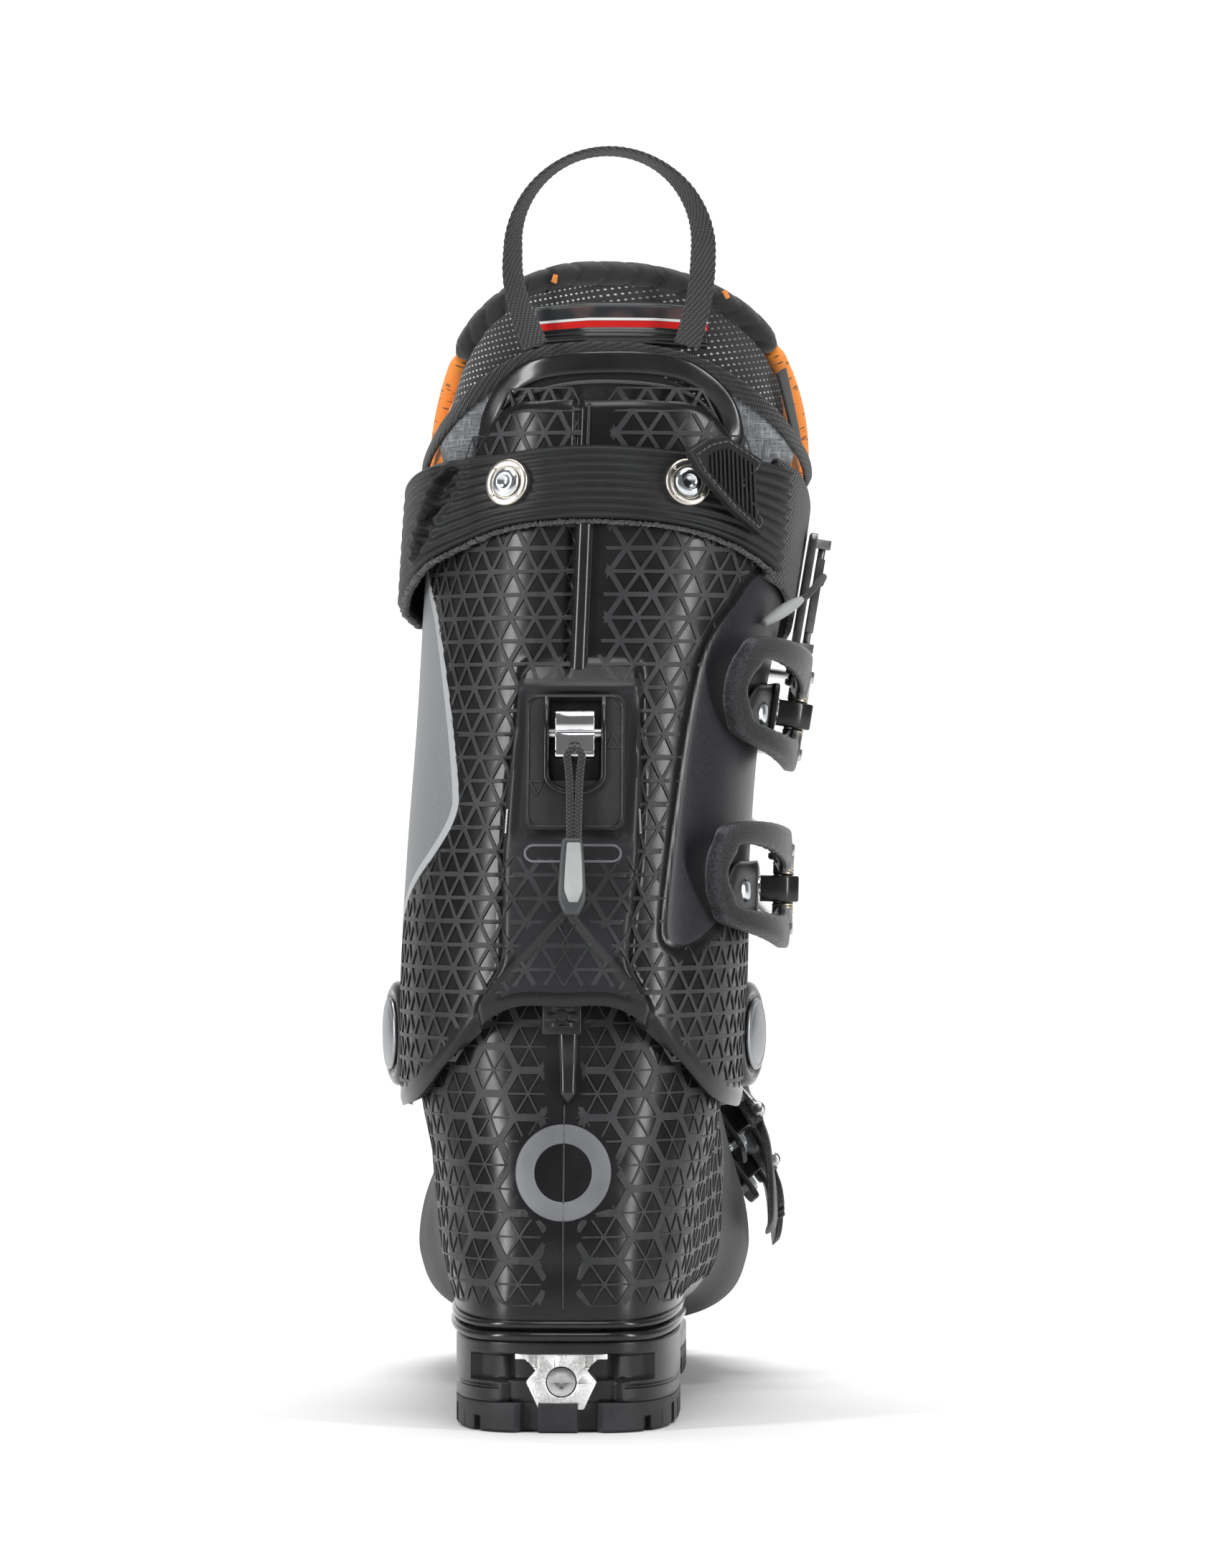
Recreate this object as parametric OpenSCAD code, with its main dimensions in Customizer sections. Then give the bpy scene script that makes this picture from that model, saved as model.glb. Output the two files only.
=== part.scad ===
// Alpine touring boot, right foot: overlap cuff on a lower shell, walk lock, four buckles, power strap.
// Millimetres. +Y points to the toe, +Z up, +X to the outer (buckle) side of the foot.
// The origin is on the ground, on the sole's centre line, under the cuff's pivot axis.

/* [Sole] */
// Boot sole length, heel end to toe end
sole_len = 306; // [300:1:312]
// Distance from the heel end to the cuff's pivot axis
heel_back = 88; // [86:1:90]
// Width of the heel
heel_w = 70; // [68:1:72]
// Width of the toe
toe_w = 69; // [67:1:71]
// Height of the rubber tread
tread_h = 9; // [8:0.5:10]
// Height of the top of the heel block
block_top = 28.2; // [27.6:0.1:28.4]

/* [Cuff] */
// Height of the cuff's pivot axis
pivot_z = 119.5; // [119:0.5:120]
// Wall thickness of the cuff
cuff_wall = 3.6; // [3:0.1:3.8]
// Wall thickness of the lower shell
shell_wall = 4; // [3.5:0.1:4.5]
// How far the walk-mode housing stands out from the cuff
housing_rise = 6.5; // [6:0.5:7]
// Radius of the cuff's axle studs
stud_r = 6; // [5:0.5:7]

/* [Liner] */
// Thickness of the liner's foot part
foot_foam = 6; // [5:0.5:7]
// Thickness of the liner's leg part
leg_foam = 9; // [8:0.5:10]

/* [Strap and loop] */
// Height of the power strap at the back
strap_z = 294; // [292:1:296]
// Width of the power strap's webbing
webbing_w = 38; // [34:1:40]
// Top of the pull loop above the ground
loop_top = 400; // [396:1:404]

/* [Buckles] */
// Width of a cuff buckle lever
lever_w = 40; // [36:1:42]
// Width of a lower buckle lever
foot_lever_w = 30; // [28:1:32]
// Radius of the bail wire
wire_r = 1.6; // [1.5:0.1:1.7]

/* [Hidden] */
gap = 1;
fit = 0.05;
toe_end = sole_len - heel_back;
graphite = [0.16, 0.16, 0.17];
black = [0.07, 0.07, 0.075];
steel = [0.72, 0.72, 0.72];
cloth = [0.1, 0.1, 0.1];
$fn = 48;

// ---- shared functions ----
function cat(K, t, i) = K[max(0, min(len(K) - 1, floor(t) + i))];
// smooth curve through the keys K, one unit of t from key to key
function spline(K, t) = let(u = t - floor(t), a = cat(K, t, -1), b = cat(K, t, 0), c = cat(K, t, 1), d = cat(K, t, 2))
    b + 0.5 * u * (c - a + u * (2 * a - 5 * b + 4 * c - d + u * (3 * (b - c) + d - a)));
function smooth(a, b, x) = let(u = max(0, min(1, (x - a) / (b - a)))) u * u * (3 - 2 * u);
// point on a unit superellipse of power n at direction angle a
function super(a, n) = [cos(a), sin(a)] / pow(pow(abs(cos(a)), n) + pow(abs(sin(a)), n), 1 / n);
// the two triangles between neighbouring points of two rows
function quad(a, b, c, d) = [[a, b, c], [a, c, d]];
function flat1(L) = [for (a = L) each a];

// closed solid between two grids of points: G is the outer face, H the inner face, open at all four edges
module sheet(G, H) {
    m = len(G);
    n = len(G[0]);
    s = m * n;
    polyhedron(flat1(concat(G, H)), flat1(concat(
        [for (i = [0:m - 2], j = [0:n - 2]) quad(i * n + j, (i + 1) * n + j, (i + 1) * n + j + 1, i * n + j + 1)],
        [for (i = [0:m - 2], j = [0:n - 2])
            quad(s + i * n + j, s + i * n + j + 1, s + (i + 1) * n + j + 1, s + (i + 1) * n + j)],
        [for (j = [0:n - 2]) quad(j, j + 1, s + j + 1, s + j)],
        [for (j = [0:n - 2]) quad((m - 1) * n + j + 1, (m - 1) * n + j, s + (m - 1) * n + j, s + (m - 1) * n + j + 1)],
        [for (i = [0:m - 2]) quad((i + 1) * n, i * n, s + i * n, s + (i + 1) * n)],
        [for (i = [0:m - 2])
            quad(i * n + n - 1, (i + 1) * n + n - 1, s + (i + 1) * n + n - 1, s + i * n + n - 1)]
    )), convexity = 8);
}

// closed solid of rings R, each with the same number of points, with flat ends
module rings(R) {
    m = len(R);
    n = len(R[0]);
    polyhedron(flat1(R), concat(flat1(
        [for (i = [0:m - 2], j = [0:n - 1])
            quad(i * n + j, (i + 1) * n + j, (i + 1) * n + (j + 1) % n, i * n + (j + 1) % n)]),
        [[for (j = [0:n - 1]) j]],
        [[for (j = [n - 1:-1:0]) (m - 1) * n + j]]
    ), convexity = 8);
}

// cup of rings: outer rings R and inner rings S are both closed at the first ring and joined at the last
module cup(R, S) {
    m = len(R);
    n = len(R[0]);
    k = m * n;
    polyhedron(flat1(concat(R, S)), concat(flat1(concat(
        [for (i = [0:m - 2], j = [0:n - 1])
            quad(i * n + j, i * n + (j + 1) % n, (i + 1) * n + (j + 1) % n, (i + 1) * n + j)],
        [for (i = [0:m - 2], j = [0:n - 1])
            quad(k + i * n + j, k + (i + 1) * n + j, k + (i + 1) * n + (j + 1) % n, k + i * n + (j + 1) % n)],
        [for (j = [0:n - 1])
            quad((m - 1) * n + j, (m - 1) * n + (j + 1) % n, k + (m - 1) * n + (j + 1) % n, k + (m - 1) * n + j)])),
        [[for (j = [n - 1:-1:0]) j]],
        [[for (j = [0:n - 1]) k + j]]
    ), convexity = 8);
}

// flat band swept along frames [centre, width direction, thickness direction], with half sizes w and t
function band_ring(F, w, t) = [
    F[0] - w * F[1] - t * F[2], F[0] + w * F[1] - t * F[2], F[0] + w * F[1] + t * F[2], F[0] - w * F[1] + t * F[2]
];

module rounded_plate(w, l, h, r) {
    linear_extrude(h) union() {
        square([w - 2 * r, l], center = true);
        square([w, l - 2 * r], center = true);
        for (i = [-1, 1], j = [-1, 1]) translate([i * (w / 2 - r), j * (l / 2 - r)]) circle(r);
    }
}

// ---- foot shape: stations from the toe tip over the heel to the collar ----
// [upper y, upper z, lower y, lower z, inner half width, outer half width, height of the widest place,
//  upper power, lower power, taper towards the lower end]
foot_keys = [
    [202, 46, 203, 28, 20, 18, 0.5, 2.2, 2.4, 0],
    [195, 61, 196, 21, 36, 33, 0.6, 2.3, 3, 0],
    [180, 71, 182, 20, 49, 45, 0.65, 2.3, 3.4, 0.04],
    [150, 81, 150, 20, 56, 52, 0.68, 2.3, 4, 0.08],
    [124, 92, 112, 20, 57, 55, 0.68, 2.3, 4, 0.1],
    [107, 103, 72, 21, 53, 54, 0.66, 2.3, 4, 0.12],
    [95, 112, 34, 27, 49, 51, 0.58, 2.3, 4, 0.15],
    [87, 119, -8, 29.5, 47, 49, 0.5, 2.3, 4.5, 0.18],
    [81, 126, -50, 30, 46.5, 47, 0.45, 2.3, 5, 0.2],
    [76, 132, -80, 32, 45.5, 46, 0.42, 2.3, 4, 0.18],
    [75, 137, -87, 50, 45.5, 46, 0.43, 2.3, 2.8, 0.1],
    [73, 142, -85, 72, 46.5, 46.5, 0.45, 2.3, 2.2, 0.04],
    [70, 148, -80, 89, 47.8, 47.8, 0.47, 2.3, 2.1, 0],
    [66, 155, -76, 104, 48.6, 48.6, 0.49, 2.3, 2.1, 0],
    [60, 163, -75.4, 124, 48, 48, 0.5, 2.3, 2.2, 0],
    [52, 171, -71, 144, 45.5, 45.5, 0.5, 2.3, 2.2, 0],
    [44, 177, -62, 160, 42, 42, 0.5, 2.3, 2.2, 0]
];
// one ring of the foot at station t, moved in by e at the top and sides and by b at the sole and heel
function foot_ring(t, e, b, n) = let(
        k = spline(foot_keys, t), upper = [k[0], k[1]], lower = [k[2], k[3]], l = norm(lower - upper),
        u = (lower - upper) / l, mid = k[6] * l
    ) [for (i = [0:n - 1]) let(
        a = 360 * i / n, s = super(a, sin(a) > 0 ? k[8] : k[7]),
        d = s[1] > 0 ? mid + s[1] * (l - b - mid) : e + (1 + s[1]) * (mid - e),
        x = s[0] * ((s[0] > 0 ? k[5] : k[4]) - e) * (1 - k[9] * max(0, s[1])), yz = upper + u * d
    ) [x, yz[0], yz[1]]];

foot_n = 40;
function foot_rings(t0, t1, m, e, b) = [for (i = [0:m]) foot_ring(t0 + (t1 - t0) * i / m, e, b, foot_n)];

module lower_shell() {
    color(graphite) difference() {
        cup(foot_rings(0, 16, 34, 0, 0), foot_rings(0.35, 16, 34, shell_wall, shell_wall));
        for (s = [-1, 1]) translate([s * 40, 0, pivot_z]) rotate([0, s * 90, 0]) cylinder(r = 3, h = 20);
        for (e = lock_rivets) lock_place(e, 75) cylinder(r = 2, h = 16, center = true);
        for (F = [instep_F, toe_F]) place(F) rivet_hole(foot_base);
        foot_ladder_at(instep_at) ladder_hole();
        foot_ladder_at(toe_at) ladder_hole();
    }
}

module liner_foot() {
    e = shell_wall + gap;
    color(cloth) cup(foot_rings(0.7, 15.2, 30, e, e + 8), foot_rings(1.2, 15.2, 30, e + foot_foam, e + 8 + foot_foam));
}

board_t = 2.6;
board_side = [[-42, 34.9], [-8, 34.8], [34, 32.6], [72, 27.6], [112, 26.2], [161, 26.2]];
module boot_board() {
    color([0.5, 0.5, 0.5]) intersection() {
        translate([-40, 0, 0]) rotate([90, 0, 90]) linear_extrude(80) polygon(concat(board_side,
            [for (i = [len(board_side) - 1:-1:0]) board_side[i] + [0, board_t]]));
        linear_extrude(60) polygon(concat(
            [for (a = [180:12:360]) [20 * cos(a), -20 + 20 * sin(a)]], [[24.4, 20]],
            [for (a = [0:12:180]) [30 * cos(a), 118 + 42 * sin(a)]], [[-24.4, 20]]));
    }
}

// ---- sole ----
module heel_plan(in) {
    w = heel_w / 2 - in;
    y0 = -heel_back + in;
    r = 20;
    union() {
        translate([-w, y0 + r]) square([2 * w, 102 - r - 2 * in]);
        translate([-w + r, y0]) square([2 * (w - r), r + 1]);
        for (s = [-1, 1]) translate([s * (w - r), y0 + r]) circle(r);
    }
}

module toe_plan(in) {
    a = toe_w / 2 - in;
    polygon(concat(
        [for (q = [0:9:180]) [a * cos(q), toe_end - toe_w / 2 + a * sin(q)]],
        [[-39 + in, 120], [-40 + in, 96], [-36 + in, 58 + in], [36 - in, 58 + in], [41 - in, 96], [40 - in, 120]]
    ));
}

// height of the screw of the heel fitting
fitting_z = 15.5;
heel_screws = [[-19, -50], [19, -50], [-19, -8], [19, -8]];
toe_screws = [[-20, 82], [20, 82], [-20, 164], [20, 164]];
recess_w = 55;
recess_d = 9;

module heel_block() {
    color(black) difference() {
        translate([0, 0, tread_h]) linear_extrude(block_top - tread_h) heel_plan(0);
        translate([-recess_w / 2, -heel_back - 1, 12]) cube([recess_w, recess_d + 1, 20]);
        translate([-10, -heel_back - 1, tread_h - 1]) cube([20, recess_d + 1, 6]);
        for (p = heel_screws) translate([p[0], p[1], 0]) cylinder(r = 2, h = 40);
        translate([0, -heel_back + 4, fitting_z]) rotate([-90, 0, 0]) cylinder(r = 2, h = 22);
        translate([-16, -62, tread_h - 1]) cube([32, 60, 12]);
    }
}

module tread_lugs(y0, y1, step, w) {
    for (y = [y0:step:y1], s = [-1, 1]) translate([s * w, y, -1]) cube([22, 5, 5], center = false);
}

module heel_tread() {
    color([0.05, 0.05, 0.05]) difference() {
        linear_extrude(tread_h) heel_plan(0);
        translate([-8.5, -heel_back - 1, 6.2]) cube([17, recess_d + 1, 6]);
        for (x = [-11.5, 10]) translate([x - 4, -heel_back - 1, -1]) cube([9, 12, 8]);
        for (s = [-1, 1]) translate([s * 26 - 0.8, -heel_back - 1, -1]) cube([1.6, 20, 7]);
        for (y = [-66:15:6], s = [-1, 1]) translate([s * 30 - 14, y, -1]) cube([28, 4, 5]);
        for (p = heel_screws) translate([p[0], p[1], -1]) cylinder(r = 4.2, h = 12);
    }
}

module toe_block() {
    color(black) difference() {
        translate([0, 0, tread_h]) linear_extrude(10) toe_plan(0);
        for (p = toe_screws) translate([p[0], p[1], 0]) cylinder(r = 2, h = 40);
        translate([-40, toe_end - 16, 10.8]) cube([80, 11, 10]);
    }
}

module toe_tread() {
    color([0.05, 0.05, 0.05]) difference() {
        linear_extrude(tread_h) toe_plan(0);
        for (y = [66:14:170], s = [-1, 1]) translate([s * 32 - 16, y, -1]) cube([32, 4, 5]);
        translate([-5, 50, -1]) cube([10, 130, 4]);
        translate([0, toe_end - 26, -0.01]) rotate([12, 0, 0]) translate([-60, 0, -10]) cube([120, 60, 10]);
        for (p = toe_screws) translate([p[0], p[1], -1]) cylinder(r = 4.2, h = 12);
    }
}

module sole_screws() {
    color(steel) {
        for (p = heel_screws) translate([p[0], p[1], 5]) screw(4, 2.2, 1.95, 22);
        for (p = toe_screws) translate([p[0], p[1], 5]) screw(4, 2.2, 1.95, 13.5);
    }
}

// pan screw: head of radius r and height h below z = 0 to h, shank of radius s up to length l
module screw(r, h, s, l) {
    difference() {
        union() {
            cylinder(r = r, h = h);
            translate([0, 0, h - 0.01]) cylinder(r = s, h = l - h);
        }
        for (a = [0, 90]) rotate([0, 0, a]) translate([-r / 2, -r / 8, -1]) cube([r, r / 4, 2]);
    }
}

module heel_fitting() {
    color([0.75, 0.75, 0.74]) translate([0, -heel_back + 1.2, 0]) rotate([-90, 0, 0]) difference() {
        translate([0, -7, 0]) linear_extrude(6.5) union() {
            polygon([[-14.3, -18.7], [-1.8, -18.7], [0, -17.2], [1.8, -18.7], [14.3, -18.7], [14.3, -15.4],
                [11, -15.4], [8, -12], [11, -8.6], [7, 0], [-7, 0], [-11, -8.6], [-8, -12], [-11, -15.4],
                [-14.3, -15.4]]);
        }
        translate([0, -15.5, -1]) cylinder(r = 4.7, h = 3.2);
        translate([0, -15.5, -1]) cylinder(r = 2.2, h = 20);
        for (s = [-1, 1]) translate([s * 8.5, -22.2, -1]) cube([3, 4.4, 4], center = true);
    }
}

module heel_fitting_screw() {
    color(steel) translate([0, -heel_back + 1.4, fitting_z]) rotate([-90, 0, 0]) screw(4.4, 2, 1.9, 20);
}

insert_y = toe_end - 10.5;
insert_z = 18;
socket_r = 3;
socket_l = 5.5;
module toe_inserts() {
    color(steel) difference() {
        union() {
            for (s = [-1, 1]) translate([s * 24.5, insert_y, insert_z]) cube([11, 9, 14], center = true);
            translate([0, insert_y, 14]) cube([40, 8, 5], center = true);
        }
        for (s = [-1, 1]) translate([s * (30 - socket_l), insert_y, insert_z]) rotate([0, s * 90, 0])
            cylinder(r = socket_r, h = 10);
    }
}

// ---- cuff ----
// [back y, front y, inner half width, outer half width, spine x, power], 40 mm apart from z = 100
leg_keys = [
    [-81.4, 80, 54.6, 54.6, 0, 2.6],
    [-81, 77, 55, 55, 0.8, 2.6],
    [-73.5, 67.5, 54.8, 54.4, 2.6, 2.4],
    [-65.5, 70, 54, 56, 4.4, 2.3],
    [-58, 77, 53.6, 62, 5.9, 2.25],
    [-51.5, 84, 52.5, 66, 7.2, 2.2],
    [-46.5, 90, 48.5, 64, 8.4, 2.2],
    [-43, 95, 45, 61, 9.4, 2.2]
];
// point of the leg's surface at direction a (0 at the back, + to the outer side), height z, moved out by o
function leg(a, z, o) = let(k = spline(leg_keys, (z - 100) / 40), s = super(a, k[5]), yc = max(0, (z - 180) / 7))
    [k[4] + s[1] * ((sin(a) > 0 ? k[3] : k[2]) + o), yc - s[0] * (cos(a) > 0 ? yc - k[0] + o : k[1] - yc + o), z];
// heights along an edge, one key every step degrees, from the back round to the front
function edge(K, step, a) = spline(K, abs(a) / step);
cuff_low_keys = [131, 130, 117.5, 102.5, 98, 98, 104, 122, 144, 162, 172, 175, 175, 175, 175];
cuff_top_keys = [320, 320, 317, 296, 284, 280, 277, 272, 266, 260, 255, 251, 248, 247, 246];
edge_step = 17;
overlap = 5.2;
// outward shift of the cuff: the outer flap lies over the inner flap at the front
function cuff_shift(a) = overlap * smooth(95, 150, a);
// the raised housing of the walk mechanism, centred on the spine
function housing(a, z) = let(x = abs(leg(a, z, 0)[0] - leg(0, z, 0)[0]))
    abs(a) > 60 ? 0 : housing_rise * (1 - smooth(16, 22, x)) * (1 - smooth(238, 252, z)) * smooth(100, 134, z);
cuff_m = 22;
inner_flap = -200;
outer_flap = 160;
// directions of the cuff's columns, closer together across the housing
cuff_dirs = concat([for (a = [inner_flap:9:-38]) a], [for (a = [-30:3:30]) a], [for (a = [38:9:148]) a], [outer_flap]);
function cuff_grid(o) = [for (i = [0:cuff_m]) [for (a = cuff_dirs) let(
        lo = edge(cuff_low_keys, edge_step, a), z = lo + (edge(cuff_top_keys, edge_step, a) - lo) * i / cuff_m
    ) leg(a, z, o + cuff_shift(a) + housing(a, z))]];

module cuff() {
    color(graphite) difference() {
        sheet(cuff_grid(0), cuff_grid(-cuff_wall));
        for (s = [-1, 1]) translate([s * 45, 0, pivot_z]) rotate([0, s * 90, 0]) cylinder(r = stud_r + fit, h = 20);
        for (s = [-1, 1]) on_leg(s * strap_screw_dir, strap_z, 0) cylinder(r = 2.6, h = 20, center = true);
        rear_place(walk_z + 5) cube([16, 27, 16], center = true);
        for (F = [upper_F, lower_F]) place(F) rivet_hole(cuff_base);
        cuff_ladder_at(upper_at, upper_rise) ladder_hole();
        cuff_ladder_at(lower_at, lower_rise) ladder_hole();
    }
}

// ---- places on the curved surfaces ----
function unit(v) = v / norm(v);
// frame [point, direction forward round the leg, up, outward]
function leg_frame(a, z, o) = let(
        p = leg(a, z, o), x = unit(leg(a + 1, z, o) - leg(a - 1, z, o)), u = unit(leg(a, z + 3, o) - leg(a, z - 3, o)),
        n = unit(cross(x, u))
    ) [p, x, cross(n, x), n];
function foot_point(t, a, o) = let(r = foot_ring(t, -o, 0, 360)) r[round(a + 360) % 360];
// frame [point, direction up over the instep, axis, outward] on the outer side of the foot
function foot_frame(t, a, o) = let(
        p = foot_point(t, a, o), x = unit(foot_point(t, a - 3, o) - foot_point(t, a + 3, o)),
        v = unit(foot_point(t + 0.1, a, o) - foot_point(t - 0.1, a, o)), n = unit(cross(x, v))
    ) [p, x, cross(n, x), n];
module place(F) {
    multmatrix([
        [F[1][0], F[2][0], F[3][0], F[0][0]],
        [F[1][1], F[2][1], F[3][1], F[0][1]],
        [F[1][2], F[2][2], F[3][2], F[0][2]],
        [0, 0, 0, 1]
    ]) children();
}
module on_leg(a, z, o) {
    place(leg_frame(a, z, o)) children();
}

// ---- cuff pivots ----
module pivot_studs() {
    color(steel) for (s = [-1, 1]) translate([s * 46, 0, pivot_z]) rotate([0, s * 90, 0]) difference() {
        union() {
            translate([0, 0, -0.5]) cylinder(r = 2.95, h = 4.2);
            translate([0, 0, 3.6]) cylinder(r = stud_r, h = 4.6);
        }
        translate([0, 0, -5]) cylinder(r = 1.6, h = 20);
    }
}

module pivot_caps() {
    color([0.45, 0.45, 0.46]) for (s = [-1, 1]) translate([s * 55.7, 0, pivot_z]) rotate([0, s * 90, 0])
        rotate_extrude($fn = 64) union() {
            square([11.5, 1.4]);
            translate([11.5, 0.3]) circle(0.3);
            translate([0, 1.4]) square([9, 0.5]);
        }
}

// ---- walk lock ----
walk_z = 208;
rear_tilt = 11;
// directions of the lock bar's rivets above the level of the pivot
lock_rivets = [6, 14];
lock_in = 81;
lock_out = 83;
module rear_place(z) {
    translate(leg(0, z, housing_rise)) rotate([-rear_tilt, 0, 0]) rotate([90, 0, 0]) children();
}
module lock_place(e, r) {
    translate([0, -r * cos(e), pivot_z + r * sin(e)]) rotate([-e, 0, 0]) rotate([90, 0, 0]) children();
}

lock_low = 2;
lock_high = 22;
module lock_bar() {
    color(steel) difference() {
        intersection() {
            translate([-6, 0, pivot_z]) rotate([0, 90, 0]) cylinder(r = lock_out, h = 12);
            translate([-7, 0, pivot_z]) rotate([90, 0, 90]) linear_extrude(14) polygon([[0, 0],
                100 * [-cos(lock_low), sin(lock_low)], 100 * [-cos(lock_high), sin(lock_high)]]);
        }
        translate([-8, 0, pivot_z]) rotate([0, 90, 0]) cylinder(r = lock_in, h = 16);
        for (e = lock_rivets) lock_place(e, lock_in) cylinder(r = 2, h = 10, center = true);
    }
}

module lock_bar_rivets() {
    color(steel) for (e = lock_rivets) lock_place(e, 73) {
        cylinder(r = 1.95, h = lock_out - 73);
        translate([0, 0, 4]) cylinder(r = 3.6, h = lock_in - 73 - 4.3);
    }
}

latch_z = 178;
module latch_bar() {
    color(steel) translate(leg(0, latch_z, 0)) rotate([-rear_tilt, 0, 0]) rotate([90, 0, 0]) difference() {
        translate([0, 0, -1.6]) rounded_plate(12, 44, 2.2, 3);
        translate([0, 14, -5]) cylinder(r = 2.5, h = 10);
    }
}

plate_t = 2;
plate_lift = 0.6;
pin_h = 1.6;
pin_y = 7;
module walk_plate() {
    color(black) rear_place(walk_z) difference() {
        translate([0, -2, plate_lift]) rounded_plate(30.7, 42.6, plate_t, 3.5);
        translate([-8, -8, -1]) cube([16, 26.5, 5]);
        translate([-9.5, pin_y, pin_h + 0.2]) rotate([0, 90, 0]) cylinder(r = 1.5 + fit, h = 19);
    }
}

module walk_lever_pin() {
    color(steel) rear_place(walk_z) translate([-9.3, pin_y, pin_h + 0.2]) rotate([0, 90, 0])
        cylinder(r = 1.5, h = 18.6);
}

module walk_lever() {
    color([0.85, 0.85, 0.86]) rear_place(walk_z) translate([0, pin_y, pin_h + 0.2]) difference() {
        union() {
            translate([-6, 0, 0]) rotate([0, 90, 0]) cylinder(r = 4.2, h = 12);
            translate([-6, -8, 0.6]) cube([12, 8, 2.6]);
            translate([-6, 0, 0.2]) cube([12, 6.6, 3.4]);
        }
        translate([-7, 0, 0]) rotate([0, 90, 0]) cylinder(r = 1.5 + fit, h = 14);
        translate([-7, -5.6, 1.9]) rotate([0, 90, 0]) cylinder(r = 0.5, h = 14);
        translate([0, -5.4, -2]) cylinder(r = 1.6, h = 9);
    }
}

cord_x = 1.36;
module pull_cord() {
    color(black) rear_place(walk_z) for (s = [-1, 1]) translate([s * cord_x - 0.5, -26.2, 4.6])
        rotate([-89, 0, 0]) cylinder(r = 1.15, h = 22.3);
}

module pull_tab() {
    color([0.25, 0.25, 0.25]) rear_place(walk_z) translate([-0.5, -39, 6.2]) rotate([-4, 0, 0])
        translate([0, 0, -2.4]) difference() {
            rounded_plate(8, 24, 4.8, 3.6);
            translate([0, 0, 4.1]) rounded_plate(4.6, 18, 2, 2.2);
            for (s = [-1, 1]) translate([s * cord_x, 5, 1.7]) rotate([-90, 0, 0]) cylinder(r = 1.25, h = 10);
        }
}

// ---- liner, leg part ----
liner_out = -cuff_wall - gap;
liner_top_keys = [358, 357, 353, 342, 326, 309, 294, 283, 278, 277];
// the leg part of the liner stays this far from the pivot axis, clear of the lower shell and the lock bar
liner_clear = 85;
function liner_low(a) = let(y = leg(a, 172, liner_out - leg_foam)[1]) pivot_z + sqrt(liner_clear * liner_clear - y * y);
liner_m = 14;
function liner_grid(o, dirs, top) = [for (i = [0:liner_m]) [for (a = dirs) let(
        lo = liner_low(a), hi = top > 0 ? top : edge(liner_top_keys, edge_step, a)
    ) leg(a, lo + (hi - lo) * i / liner_m, o)]];
liner_dirs = [for (a = [-138:12:138]) a];
tongue_dirs = [for (a = [144:9:216]) a];
module liner_cuff() {
    color(cloth) sheet(liner_grid(liner_out, liner_dirs, 0), liner_grid(liner_out - leg_foam, liner_dirs, 0));
}
module liner_tongue() {
    color(cloth) sheet(liner_grid(liner_out, tongue_dirs, 335), liner_grid(liner_out - leg_foam, tongue_dirs, 335));
}

// band on the leg: height keys K, half width w, between offsets o and o + t, for directions A
function strip(K, step, A, w, o) = [for (i = [-1:1]) [for (a = A) leg(a, edge(K, step, a) + i * w, o)]];
binding_keys = [336, 335, 330, 318, 306, 297, 292];
binding_dirs = [for (a = [-84:7:84]) a];
module liner_binding() {
    color(black) sheet(strip(binding_keys, edge_step, binding_dirs, 1.8, liner_out + 1.1),
        strip(binding_keys, edge_step, binding_dirs, 1.8, liner_out + 0.25));
}

reflector_dirs = [for (a = [-12:5:38]) a];
module reflector_strip() {
    color([0.08, 0.08, 0.09]) sheet(strip([346], 60, reflector_dirs, 6.5, liner_out + 0.9),
        strip([346], 60, reflector_dirs, 6.5, liner_out + 0.1));
}

spoiler_keys = [328, 328, 326.5, 318, 300];
spoiler_dirs = [for (a = [-46:4:46]) a];
module spoiler_frame() {
    color(black) sheet(strip(spoiler_keys, 12, spoiler_dirs, 3, liner_out + 0.7),
        strip(spoiler_keys, 12, spoiler_dirs, 3, liner_out + 0.1));
}

loop_w = 34;
loop_mid = 15.5;
loop_low = 352;
function loop_frame(t) = let(
        z = loop_low + (loop_top - 1.2 - loop_low) * sin(t), y = -47 + 0.05 * (z - 340),
        n = unit([-cos(t) / loop_w, 0, sin(t) / (loop_top - loop_low)])
    ) [[loop_mid - (loop_w - 1) * cos(t), y, z], [0, 1, 0], n];
module pull_loop() {
    color(black) rings([for (t = [-22:8:202]) band_ring(loop_frame(t), 7, 1.1)]);
}

// ---- power strap ----
strap_screw_dir = 25.5;
strap_t = 3.2;
function strap_h(a) = strap_z - 21 * (1 - cos(a));
function strap_off(a) = 0.6 + (overlap + 0.4) * smooth(75, 140, a) * (1 - smooth(202, 250, a));
function strap_half(a) = 11.5 + 7.5 * smooth(20, 85, abs(a));
function strap_rows(A, o, w) = [for (i = [-2:2]) [for (a = A)
        leg(a, strap_h(a) + i / 2 * (w > 0 ? w : strap_half(a)), o + strap_off(a))]];
rear_dirs = [for (a = [-100:6:62]) a];
web_dirs = [for (a = [65:8:257]) a];
module strap_rear() {
    color(graphite) difference() {
        sheet(strap_rows(rear_dirs, strap_t, 0), strap_rows(rear_dirs, 0, 0));
        for (s = [-1, 1]) on_leg(s * strap_screw_dir, strap_z, 0) cylinder(r = 2.6, h = 20, center = true);
        for (h = [-6, 8]) on_leg(-80, strap_h(80) + h, 0) rounded_plate_cut();
    }
}
module rounded_plate_cut() {
    translate([0, 0, -6]) rounded_plate(18, 6, 16, 2.9);
}
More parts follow.
